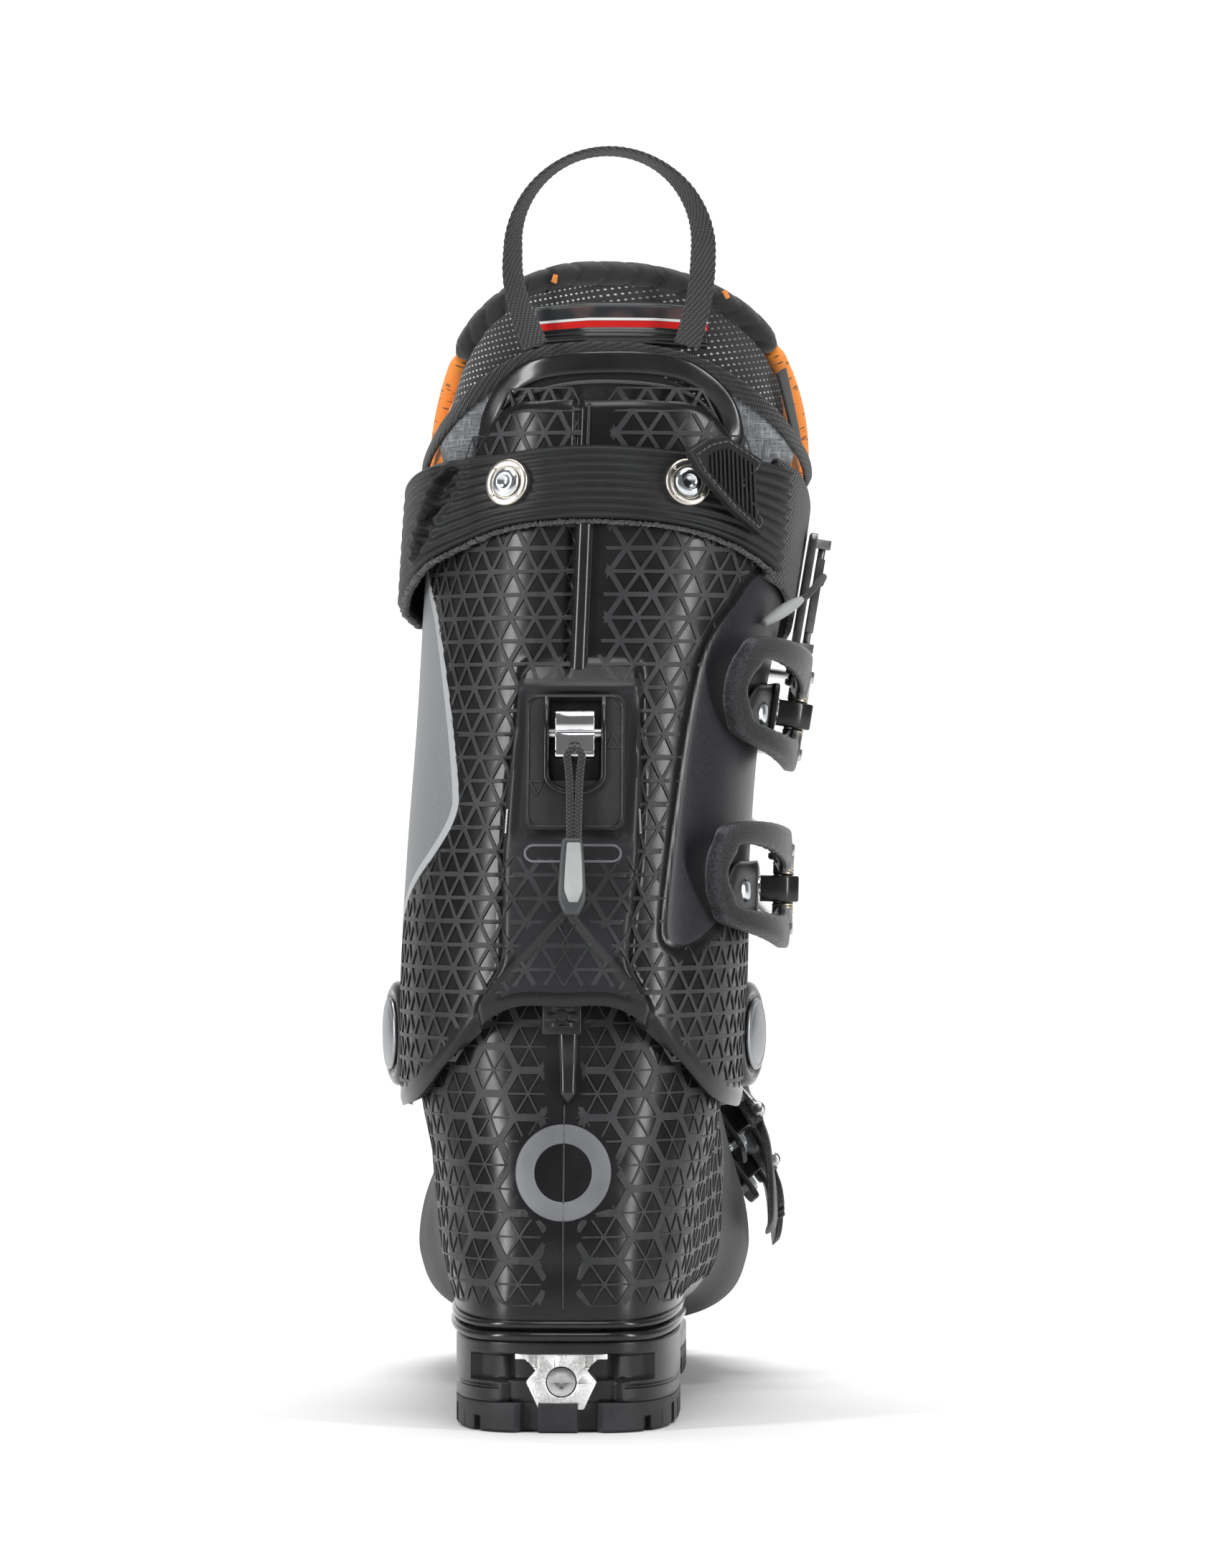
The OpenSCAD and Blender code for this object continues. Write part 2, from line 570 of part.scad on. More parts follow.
module strap_screws() {
    color([0.7, 0.67, 0.6]) for (s = [-1, 1]) on_leg(s * strap_screw_dir, strap_z, 0)
        translate([0, 0, strap_t + 1.3]) difference() {
        union() {
            cylinder(r = 7.5, h = 1.1);
            translate([0, 0, 1]) cylinder(r = 4.5, h = 1.4);
            translate([0, 0, -8.2]) cylinder(r = 2.55, h = 8.3);
        }
        translate([0, 0, 1.2]) cylinder(r = 2.2, h = 3, $fn = 6);
    }
}
module strap_webbing() {
    color(black) sheet(strap_rows(web_dirs, 2.2, webbing_w / 2), strap_rows(web_dirs, 0.2, webbing_w / 2));
}
module strap_tab() {
    color(graphite) on_leg(42, strap_z - 5, 0.6 + strap_t + 0.7) rotate([0, 0, -50]) linear_extrude(2.6)
        polygon([[-13, -8], [-7, -8], [12, -8], [7, 0], [12, 8], [-13, 8], [-17, 0]]);
}
cam_dir = 96;
cam_z = 261;
cam_off = strap_off(cam_dir) + 2.2 + 1;
module cam_place() {
    on_leg(cam_dir, cam_z, cam_off) children();
}
module cam_frame() {
    color([0.4, 0.4, 0.4]) cam_place() difference() {
        union() {
            rounded_plate(20, 40, 2, 3);
            for (s = [-1, 1]) translate([-3, s * 17 - 1.5, 1.9]) cube([6, 3, 5]);
        }
        translate([-7, -13, -1]) cube([14, 26, 5]);
        translate([0, 25, 4.4]) rotate([90, 0, 0]) cylinder(r = 1.2 + fit, h = 50);
    }
}
module cam_lever() {
    color([0.6, 0.6, 0.6]) cam_place() translate([0, 0, 4.4]) union() {
        translate([0, 18.4, 0]) rotate([90, 0, 0]) cylinder(r = 1.2, h = 36.8);
        translate([-9, -12, -1.2]) cube([10, 24, 2.4]);
    }
}

// ---- buckles: local x is the pulling direction, y the pin's axis, z outward; the pin is at the origin ----
pin_r = 1.6;
bail_back = 9;
bail_out = 2.5;
ear_in = 7.2;
ear_w = 3;
pin_lift = 9.5;
lever_t = 3.4;
// height of a lever's middle over the shell, from the pin (0) to the free end (1)
function lever_h(u) = pin_lift + 1.7 - 5.6 * u + 2.2 * sin(180 * u);
function flat(F, p) = [(p - F[0]) * F[1], (p - F[0]) * F[3]];
function cuff_side(F, a0, a1, z, u, d) = let(a = a0 + (a1 - a0) * u) flat(F, leg(a, z, cuff_shift(a) + lever_h(u) + d));
function foot_side(F, t, a0, a1, u, d) = flat(F, foot_point(t, a0 + (a1 - a0) * u, lever_h(u) + d));
// lever body: side outline S in the x z plane, width w, with an open window and holes for the pin and the bail
module lever_body(S, w) {
    l = -min([for (p = S) p[0]]);
    h = w / 2;
    e = ear_in - 0.4;
    difference() {
        union() {
            intersection() {
                translate([0, h, 0]) rotate([90, 0, 0]) linear_extrude(w) polygon(S);
                translate([0, 0, -60]) linear_extrude(90) polygon([[4, -e], [4, e], [-12, e], [-18, h - 3], [-27, h],
                    [-l + 8, h - 2], [-l + 1, h - 8], [-l - 1, 0], [-l + 1, 8 - h], [-l + 8, 2 - h], [-27, -h],
                    [-18, 3 - h], [-12, -e]]);
            }
            translate([0, e, 0]) rotate([90, 0, 0]) cylinder(r = 3.4, h = 2 * e);
        }
        translate([0, 20, 0]) rotate([90, 0, 0]) cylinder(r = pin_r + fit, h = 40);
        translate([-bail_back, 30, bail_out]) rotate([90, 0, 0]) cylinder(r = wire_r + fit, h = 60);
        translate([0, 0, -60]) linear_extrude(90) polygon([[-19, -e], [-19, e], [-l + 14, h - 8], [-l + 9, 0],
            [-l + 14, 8 - h]]);
    }
}
cuff_base = [34, -17];
foot_base = [21, -9.5];
base_t = 1.6;
// B is the length of the base and the place of its rivet
module buckle_base(B) {
    difference() {
        union() {
            translate([4 - B[0] / 2, 0, 0.5 - pin_lift]) rounded_plate(B[0], 18, base_t, 4);
            for (s = [-1, 1]) translate([-3.4, s * (ear_in + ear_w / 2) - ear_w / 2, 0.5 - pin_lift])
                cube([6.8, ear_w, pin_lift - 0.5]);
            for (s = [-1, 1]) translate([0, s * (ear_in + ear_w / 2) + ear_w / 2, 0]) rotate([90, 0, 0])
                cylinder(r = 3.4, h = ear_w);
        }
        translate([0, 20, 0]) rotate([90, 0, 0]) cylinder(r = pin_r + 0.01, h = 40);
        translate([B[1], 0, -pin_lift]) cylinder(r = 2.5, h = 4);
    }
}
module buckle_pin() {
    translate([0, ear_in + ear_w, 0]) rotate([90, 0, 0]) cylinder(r = pin_r, h = 2 * (ear_in + ear_w));
}
module rivet_hole(B) {
    translate([B[1], 0, -pin_lift - 12]) cylinder(r = 2.5, h = 14);
}
module buckle_rivet(B, deep) {
    translate([B[1], 0, -pin_lift - deep]) cylinder(r = 2.45, h = deep + 0.5 + base_t);
    translate([B[1], 0, 0.53 - pin_lift + base_t]) cylinder(r = 4.4, h = 1.3);
}
module ladder() {
    difference() {
        union() {
            translate([0, 0, 0.3]) rounded_plate(24, 12, 1.5, 3);
            for (x = [-9, -3, 3]) translate([x, -5, 1.7]) cube([2, 10, 1.7]);
        }
        translate([8, 0, -1]) cylinder(r = 1.6, h = 6);
    }
}
module ladder_hole() {
    translate([8, 0, -8]) cylinder(r = 1.6, h = 9);
}
module ladder_rivet(deep) {
    translate([8, 0, -deep]) cylinder(r = 1.55, h = deep + 1.8);
    translate([8, 0, 1.83]) cylinder(r = 2.8, h = 1);
}
// wire bail: the points P lie along one side, out to the hook; Q are the same on the other side, coming back
module wire(P) {
    N = len(P);
    rings([for (i = [0:N - 1]) let(
            d = unit(P[min(i + 1, N - 1)][0] - P[max(i - 1, 0)][0]), v = unit(cross(d, P[i][1])), u = cross(v, d)
        ) [for (q = [315:-45:0]) P[i][0] + wire_r * (cos(q) * v + sin(q) * u)]]);
}
wire_y = 12.6;
// half length of the eye where the wire turns into the lever
eye_half = 1.9;
function bail_h(u) = pin_lift + bail_out - 5.2 * smooth(0, 0.5, u) - 1.4 * smooth(0.8, 1, u);
function cuff_bail_pt(F, a1, rise, u, s) = let(
        a = F[4] + (a1 - F[4]) * u, z = F[5] + s * (wire_y - 2.6 * smooth(0.5, 1, u)) + rise * smooth(0.1, 0.8, u)
    ) [leg(a, z, cuff_shift(min(a, 150)) + bail_h(u)), leg_frame(a, z, 0)[3]];
function foot_bail_pt(F, a1, u, s) = let(a = F[5] + (a1 - F[5]) * u, g = foot_frame(F[4], a, bail_h(u)))
    [g[0] + s * (wire_y - 2.6 * smooth(0.5, 1, u)) * F[2], g[3]];
module bail_pins(F) {
    place(F) for (s = [-1, 1]) translate([-bail_back, s * wire_y, bail_out]) rotate([s * 90, 0, 0]) {
        cylinder(r = wire_r, h = wire_y - 5);
        translate([0, 0, -eye_half]) cylinder(r = wire_r + 0.5, h = 2 * eye_half);
    }
}

function bail_start(F, s) = [F[0] - bail_back * F[1] + s * wire_y * F[2] + bail_out * F[3], F[3]];
bail_steps = [0.12, 0.22, 0.32, 0.42, 0.52, 0.62, 0.72, 0.82, 0.91, 1];
bail_back_steps = [for (i = [len(bail_steps) - 1:-1:0]) bail_steps[i]];

// frames of the four buckles: the place on the shell, then the direction and height (or station) used for it
upper_at = [101, 222];
lower_at = [96, 166];
instep_at = [5.2, -38];
toe_at = [3.6, -36];
function cuff_frame(p) = leg_frame(p[0], p[1], cuff_shift(p[0]) + pin_lift);
upper_F = cuff_frame(upper_at);
lower_F = cuff_frame(lower_at);
instep_F = foot_frame(instep_at[0], instep_at[1], pin_lift);
toe_F = foot_frame(toe_at[0], toe_at[1], pin_lift);
upper_end = 44;
lower_end = 42;
foot_end = 14;
steps = [for (i = [0:12]) i / 12];
back_steps = [for (i = [12:-1:0]) i / 12];
nose = [[1, -2.6], [3.2, 0], [2, 2.8]];
module cuff_lever(F, p, a1) {
    color(graphite) place(F) lever_body(concat([for (u = steps) cuff_side(F, p[0], a1, p[1], u, lever_t / 2)],
        [for (u = back_steps) cuff_side(F, p[0], a1, p[1], u, -lever_t / 2)], nose), lever_w);
}
module foot_lever(F, p) {
    color(graphite) place(F) lever_body(concat([for (u = steps) foot_side(F, p[0], p[1], foot_end, u, lever_t / 2)],
        [for (u = back_steps) foot_side(F, p[0], p[1], foot_end, u, -lever_t / 2)], nose), foot_lever_w);
}
// direction on the leg that lies behind the pin by the bail's set-back
function behind(p) = p[0] - 8.5;
module cuff_bail(F, p, rise) {
    G = concat(F, [behind(p), p[1]]);
    color(steel) union() {
        wire(concat([bail_start(F, 1)], [for (u = bail_steps) cuff_bail_pt(G, hook_dir, rise, u, 1)],
            [for (u = bail_back_steps) cuff_bail_pt(G, hook_dir, rise, u, -1)], [bail_start(F, -1)]));
        bail_pins(F);
    }
}
hook_dir = 172;
upper_rise = 4;
lower_rise = 15;
hook_foot = -122;
module foot_bail(F, p) {
    G = concat(F, [p[0], p[1] + 10]);
    color(steel) union() {
        wire(concat([bail_start(F, 1)], [for (u = bail_steps) foot_bail_pt(G, hook_foot, u, 1)],
            [for (u = bail_back_steps) foot_bail_pt(G, hook_foot, u, -1)], [bail_start(F, -1)]));
        bail_pins(F);
    }
}
ladder_dir = 176;
ladder_foot = -126;
module cuff_ladder_at(p, rise) {
    on_leg(ladder_dir, p[1] + rise, 0) children();
}
module foot_ladder_at(p) {
    place(foot_frame(p[0], ladder_foot, 0)) children();
}

module cuff_rivets() {
    color(steel) {
        for (F = [upper_F, lower_F]) place(F) buckle_rivet(cuff_base, 5);
        cuff_ladder_at(upper_at, upper_rise) ladder_rivet(3);
        cuff_ladder_at(lower_at, lower_rise) ladder_rivet(3);
    }
}
module shell_rivets() {
    color(steel) {
        for (F = [instep_F, toe_F]) place(F) buckle_rivet(foot_base, 4);
        foot_ladder_at(instep_at) ladder_rivet(3);
        foot_ladder_at(toe_at) ladder_rivet(3);
    }
}

module upper_base() { color(black) place(upper_F) buckle_base(cuff_base); }
module lower_base() { color(black) place(lower_F) buckle_base(cuff_base); }
module instep_base() { color(black) place(instep_F) buckle_base(foot_base); }
module toe_base() { color(black) place(toe_F) buckle_base(foot_base); }
module upper_pin() { color(steel) place(upper_F) buckle_pin(); }
module lower_pin() { color(steel) place(lower_F) buckle_pin(); }
module instep_pin() { color(steel) place(instep_F) buckle_pin(); }
module toe_pin() { color(steel) place(toe_F) buckle_pin(); }
module upper_lever() { cuff_lever(upper_F, upper_at, upper_end); }
module lower_lever() { cuff_lever(lower_F, lower_at, lower_end); }
module instep_lever() { foot_lever(instep_F, instep_at); }
module toe_lever() { foot_lever(toe_F, toe_at); }
module upper_bail() { cuff_bail(upper_F, upper_at, upper_rise); }
module lower_bail() { cuff_bail(lower_F, lower_at, lower_rise); }
module instep_bail() { foot_bail(instep_F, instep_at); }
module toe_bail() { foot_bail(toe_F, toe_at); }
module upper_ladder() { color(black) cuff_ladder_at(upper_at, upper_rise) ladder(); }
module lower_ladder() { color(black) cuff_ladder_at(lower_at, lower_rise) ladder(); }
module instep_ladder() { color(black) foot_ladder_at(instep_at) ladder(); }
module toe_ladder() { color(black) foot_ladder_at(toe_at) ladder(); }

lower_shell();
boot_board();
liner_foot();
heel_block();
heel_tread();
toe_block();
toe_tread();
sole_screws();
heel_fitting();
heel_fitting_screw();
toe_inserts();
lock_bar();
lock_bar_rivets();
pivot_studs();
latch_bar();
instep_base();
instep_pin();
instep_lever();
instep_bail();
instep_ladder();
toe_base();
toe_pin();
toe_lever();
toe_bail();
toe_ladder();
shell_rivets();
cuff();
cuff_rivets();
walk_plate();
walk_lever_pin();
walk_lever();
pull_cord();
pull_tab();
pivot_caps();
liner_cuff();
liner_tongue();
liner_binding();
pull_loop();
reflector_strip();
spoiler_frame();
strap_rear();
strap_screws();
strap_webbing();
strap_tab();
cam_frame();
cam_lever();
upper_base();
upper_pin();
upper_lever();
upper_bail();
upper_ladder();
lower_base();
lower_pin();
lower_lever();
lower_bail();
lower_ladder();
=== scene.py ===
"""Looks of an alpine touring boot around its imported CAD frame. Lengths are in millimetres."""
import math

import bmesh
import bpy
import numpy as np
from mathutils import Matrix, Vector
from mathutils.bvhtree import BVHTree


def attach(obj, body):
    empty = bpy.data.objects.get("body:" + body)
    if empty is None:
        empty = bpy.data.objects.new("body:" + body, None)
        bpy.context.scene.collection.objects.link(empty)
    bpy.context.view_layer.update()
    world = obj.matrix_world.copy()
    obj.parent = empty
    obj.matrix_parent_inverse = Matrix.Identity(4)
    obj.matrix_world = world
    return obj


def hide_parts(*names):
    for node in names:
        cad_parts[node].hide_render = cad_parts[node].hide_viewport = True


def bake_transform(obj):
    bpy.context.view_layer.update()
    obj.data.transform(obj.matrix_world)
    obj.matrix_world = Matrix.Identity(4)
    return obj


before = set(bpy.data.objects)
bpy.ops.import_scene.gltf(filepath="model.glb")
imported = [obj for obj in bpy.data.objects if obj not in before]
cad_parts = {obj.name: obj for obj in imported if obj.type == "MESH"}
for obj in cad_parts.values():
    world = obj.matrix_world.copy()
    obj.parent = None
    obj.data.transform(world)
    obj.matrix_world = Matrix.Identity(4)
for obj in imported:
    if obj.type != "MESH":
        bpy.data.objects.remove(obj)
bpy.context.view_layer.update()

MM = 0.001
PIVOT_Z = 119.5
rng = np.random.default_rng(7)


# ---- curves and surfaces shared with the CAD model ----
def run_of(path):
    """Distance along a path at each of its points."""
    return np.concatenate([[0], np.cumsum(np.linalg.norm(np.diff(path, axis=0), axis=1))])


def fill_sides(outline, n):
    """Closed outline with n points on each side."""
    sides = zip(outline, np.roll(outline, -1, 0))
    return np.concatenate([np.linspace(p, q, n, endpoint=False) for p, q in sides])


def spline(keys, t):
    """Smooth curve through keys, one unit of t from key to key."""
    table = np.asarray(keys, float)
    rows = table if table.ndim > 1 else table[:, None]
    t = np.clip(np.asarray(t, float), 0, len(rows) - 1)
    low = np.floor(t).astype(int)
    u = (t - low)[..., None]
    a, b, c, d = (rows[np.clip(low + i, 0, len(rows) - 1)] for i in (-1, 0, 1, 2))
    value = b + 0.5 * u * (c - a + u * (2 * a - 5 * b + 4 * c - d + u * (3 * (b - c) + d - a)))
    return value if table.ndim > 1 else value[..., 0]


def smooth(low, high, x):
    """0 before low to 1 past high, smoothly; low may be the larger of the two."""
    u = np.clip((np.asarray(x, float) - low) / (high - low), 0, 1)
    return u * u * (3 - 2 * u)


def superellipse(degrees, power):
    """Point of a superellipse of half width 1, the more square the higher its power."""
    c = np.cos(np.radians(degrees))
    s = np.sin(np.radians(degrees))
    r = (np.abs(c) ** power + np.abs(s) ** power) ** (1 / power)
    return c / r, s / r


def unit(v):
    return v / np.maximum(np.linalg.norm(v, axis=-1, keepdims=True), 1e-9)


# [back y, front y, inner half width, outer half width, spine x, power], 40 mm apart from z = 100
LEG_KEYS = [[-81.4, 80, 54.6, 54.6, 0, 2.6], [-81, 77, 55, 55, 0.8, 2.6], [-73.5, 67.5, 54.8, 54.4, 2.6, 2.4],
            [-65.5, 70, 54, 56, 4.4, 2.3], [-58, 77, 53.6, 62, 5.9, 2.25], [-51.5, 84, 52.5, 66, 7.2, 2.2],
            [-46.5, 90, 48.5, 64, 8.4, 2.2], [-43, 95, 45, 61, 9.4, 2.2]]
LEG_LOW, LEG_STEP = 100, 40
EDGE_STEP = 17
CUFF_LOW = [131, 130, 117.5, 102.5, 98, 98, 104, 122, 144, 162, 172, 175, 175, 175, 175]
CUFF_TOP = [320, 320, 317, 296, 284, 280, 277, 272, 266, 260, 255, 251, 248, 247, 246]
LINER_TOP = [364.5, 363.5, 359, 349, 332, 313, 296, 284, 278, 277]
LINER_OUT = -4.6
LEG_FOAM = 9
OVERLAP = 5.2
CUFF_WALL = 3.6
HOUSING_RISE = 6.5


def leg_mid_y(z):
    """Middle of the leg's section, which moves forward with height."""
    return np.maximum(0, (z - 180) / 7)


def leg(a, z, o=0.0):
    """Point of the leg's surface at direction a (0 at the back, + outwards), height z, moved out by o."""
    a, z, o = np.broadcast_arrays(np.asarray(a, float), np.asarray(z, float), np.asarray(o, float))
    k = spline(LEG_KEYS, (z - LEG_LOW) / LEG_STEP)
    c, s = superellipse(a, k[..., 5])
    mid_y = leg_mid_y(z)
    half = np.where(s > 0, k[..., 3], k[..., 2]) + o
    deep = np.where(c > 0, mid_y - k[..., 0], k[..., 1] - mid_y) + o
    return np.stack([k[..., 4] + s * half, mid_y - c * deep, z], -1)


def edge(keys, a):
    """Height of an edge at direction a; its keys stand EDGE_STEP degrees apart, from the back forwards."""
    return spline(keys, np.abs(a) / EDGE_STEP)


def cuff_shift(a):
    """Height of the cuff's outer flap over the inner one, where they overlap at the front."""
    return OVERLAP * smooth(95, 150, a)


def frame_on(at, a, z, o=0.0, reach=3):
    """[point, direction forward round the leg, up, outward] on a surface at(a, z, o)."""
    x = unit(at(a + 1, z, o) - at(a - 1, z, o))
    u = unit(at(a, z + reach, o) - at(a, z - reach, o))
    n = unit(np.cross(x, u))
    return [at(a, z, o), x, np.cross(n, x), n]


def leg_frame(a, z, o=0.0):
    return frame_on(leg, a, z, o)


# [upper y, upper z, lower y, lower z, inner half width, outer half width, widest place, upper power,
#  lower power, taper], from the toe to the collar
FOOT_KEYS = [[202, 46, 203, 28, 20, 18, 0.5, 2.2, 2.4, 0], [195, 61, 196, 21, 36, 33, 0.6, 2.3, 3, 0],
             [180, 71, 182, 20, 49, 45, 0.65, 2.3, 3.4, 0.04],
             [150, 81, 150, 20, 56, 52, 0.68, 2.3, 4, 0.08], [124, 92, 112, 20, 57, 55, 0.68, 2.3, 4, 0.1],
             [107, 103, 72, 21, 53, 54, 0.66, 2.3, 4, 0.12], [95, 112, 34, 27, 49, 51, 0.58, 2.3, 4, 0.15],
             [87, 119, -8, 29.5, 47, 49, 0.5, 2.3, 4.5, 0.18],
             [81, 126, -50, 30, 46.5, 47, 0.45, 2.3, 5, 0.2],
             [76, 132, -80, 32, 45.5, 46, 0.42, 2.3, 4, 0.18],
             [75, 137, -87, 50, 45.5, 46, 0.43, 2.3, 2.8, 0.1],
             [73, 142, -85, 72, 46.5, 46.5, 0.45, 2.3, 2.2, 0.04],
             [70, 148, -80, 89, 47.8, 47.8, 0.47, 2.3, 2.1, 0],
             [66, 155, -76, 104, 48.6, 48.6, 0.49, 2.3, 2.1, 0],
             [60, 163, -75.4, 124, 48, 48, 0.5, 2.3, 2.2, 0],
             [52, 171, -71, 144, 45.5, 45.5, 0.5, 2.3, 2.2, 0],
             [44, 177, -62, 160, 42, 42, 0.5, 2.3, 2.2, 0]]


def foot(t, a, e=0.0, b=0.0):
    """Point of the foot's ring t at ring angle a (90 at the sole or heel), moved in by e, or b at the sole."""
    t, a, e, b = np.broadcast_arrays(*(np.asarray(v, float) for v in (t, a, e, b)))
    k = spline(FOOT_KEYS, t)
    upper, lower = k[..., 0:2], k[..., 2:4]
    length = np.linalg.norm(lower - upper, axis=-1)
    u = (lower - upper) / length[..., None]
    mid = k[..., 6] * length
    c, s = superellipse(a, np.where(np.sin(np.radians(a)) > 0, k[..., 8], k[..., 7]))
    d = np.where(s > 0, mid + s * (length - b - mid), e + (1 + s) * (mid - e))
    x = c * (np.where(c > 0, k[..., 5], k[..., 4]) - e) * (1 - k[..., 9] * np.maximum(0, s))
    yz = upper + u * d[..., None]
    return np.stack([x, yz[..., 0], yz[..., 1]], -1)


def foot_frame(t, a, o=0.0):
    """[point, direction up over the instep, axis, outward] on the outer side of the foot."""
    x = unit(foot(t, a - 3, -o) - foot(t, a + 3, -o))
    v = unit(foot(t + 0.1, a, -o) - foot(t - 0.1, a, -o))
    n = unit(np.cross(x, v))
    return [foot(t, a, -o), x, np.cross(n, x), n]


def to_world(place, points):
    """World points of points given in a frame [point, x, y, z]."""
    q = np.asarray(points, float)
    return place[0] + q[..., 0:1] * place[1] + q[..., 1:2] * place[2] + q[..., 2:3] * place[3]


def place_at(place, x, y, z):
    """The frame moved to one of its own points."""
    return [place[0] + x * place[1] + y * place[2] + z * place[3], *place[1:]]


# ---- meshes ----
def new_mesh(name, verts, faces, mats=(), smooth_faces=True, uv=None):
    """Mesh object from points in millimetres. uv gives one (u, v) pair a point, in millimetres."""
    mesh = bpy.data.meshes.new(name)
    mesh.from_pydata((np.asarray(verts, float) * MM).tolist(), [], [list(map(int, f)) for f in faces])
    for m in mats:
        mesh.materials.append(m)
    mesh.polygons.foreach_set("use_smooth", [smooth_faces] * len(mesh.polygons))
    if uv is not None:
        add_attribute(mesh, "wrap", np.concatenate([np.asarray(uv, float), np.zeros((len(verts), 1))], 1))
    mesh.update()
    obj = bpy.data.objects.new(name, mesh)
    bpy.context.scene.collection.objects.link(obj)
    return obj


def add_attribute(mesh, name, values):
    """Float (one number a point) or vector (three numbers a point) attribute that materials read."""
    values = np.asarray(values, np.float32)
    kind = "FLOAT_VECTOR" if values.ndim > 1 else "FLOAT"
    attribute = mesh.attributes.new(name, kind, "POINT")
    attribute.data.foreach_set("vector" if values.ndim > 1 else "value", values.ravel())


def grid_faces(rows, cols, wrap_rows=False, wrap_cols=False):
    i, j = np.meshgrid(np.arange(rows - (not wrap_rows)), np.arange(cols - (not wrap_cols)), indexing="ij")
    i, j = i.ravel(), j.ravel()
    i2, j2 = (i + 1) % rows, (j + 1) % cols
    return np.stack([i * cols + j, i * cols + j2, i2 * cols + j2, i2 * cols + j], 1)


def grid(name, points, mats=(), wrap_rows=False, wrap_cols=False, uv=None):
    """Mesh of a grid of points, shape (rows, columns, 3)."""
    rows, cols = points.shape[:2]
    faces = grid_faces(rows, cols, wrap_rows, wrap_cols)
    flat_uv = None if uv is None else uv.reshape(-1, 2)
    return new_mesh(name, points.reshape(-1, 3), faces, mats, uv=flat_uv)


def edit(obj, change):
    """Changes a mesh by a function of its bmesh."""
    bm = bmesh.new()
    bm.from_mesh(obj.data)
    change(bm)
    bm.to_mesh(obj.data)
    bm.free()
    return obj


def piece(obj, body, cad=None):
    """Puts a piece on its body; cad names the node that it stands for."""
    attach(obj, body)
    if cad:
        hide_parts(cad)
    return obj


def modifier(obj, kind, **values):
    m = obj.modifiers.new(kind.lower(), kind)
    for key, value in values.items():
        setattr(m, key, value)
    return m


def apply_modifiers(obj):
    graph = bpy.context.evaluated_depsgraph_get()
    shaped = obj.evaluated_get(graph)
    mesh = bpy.data.meshes.new_from_object(shaped, preserve_all_data_layers=True, depsgraph=graph)
    obj.modifiers.clear()
    old = obj.data
    obj.data = mesh
    bpy.data.meshes.remove(old)
    return obj


def round_edges(obj, width, degrees=30, segments=2):
    return modifier(obj, "BEVEL", width=width * MM, segments=segments, limit_method="ANGLE",
                    angle_limit=math.radians(degrees))


def thicken(obj, thickness, bevel=0.0):
    """Gives a sheet its thickness inwards and, if asked, round edges."""
    modifier(obj, "SOLIDIFY", thickness=thickness * MM, offset=-1.0, use_even_offset=False)
    if bevel:
        round_edges(obj, bevel, 50)
    return apply_modifiers(obj)


def join(name, objects):
    """One object of several meshes, keeping their materials and attributes."""
    for o in bpy.context.selected_objects:
        o.select_set(False)
    for o in objects:
        o.select_set(True)
    bpy.context.view_layer.objects.active = objects[0]
    with bpy.context.temp_override(active_object=objects[0], selected_editable_objects=objects,
                                   selected_objects=objects):
        bpy.ops.object.join()
    objects[0].name = name
    objects[0].data.name = name
    return objects[0]


def lathe(name, profile, mats=(), segments=48, place=None):
    """Solid turned about +Z from (radius, height) pairs that start and end on the axis."""
    prof = np.asarray(profile, float)
    ang = np.linspace(0, 2 * math.pi, segments, endpoint=False)
    inner = prof[1:-1]
    pts = np.stack([np.outer(inner[:, 0], np.cos(ang)), np.outer(inner[:, 0], np.sin(ang)),
                    np.repeat(inner[:, 1:2], segments, 1)], -1)
    verts = np.concatenate([pts.reshape(-1, 3), [[0, 0, prof[0, 1]], [0, 0, prof[-1, 1]]]])
    n = len(verts)
    faces = [list(f) for f in grid_faces(len(inner), segments, wrap_cols=True)]
    last = (len(inner) - 1) * segments
    for j in range(segments):
        k = (j + 1) % segments
        faces.append([n - 2, k, j])
        faces.append([n - 1, last + j, last + k])
    obj = new_mesh(name, verts, faces, mats)
    return obj if place is None else move_to(obj, place)


def move_to(obj, place):
    """Moves a mesh into a frame [point, x, y, z]; the object itself stays at the origin."""
    p, x, y, z = (np.asarray(v, float).ravel() for v in place)
    m = Matrix(((x[0], y[0], z[0], p[0] * MM), (x[1], y[1], z[1], p[1] * MM),
                (x[2], y[2], z[2], p[2] * MM), (0, 0, 0, 1)))
    obj.data.transform(m)
    return obj


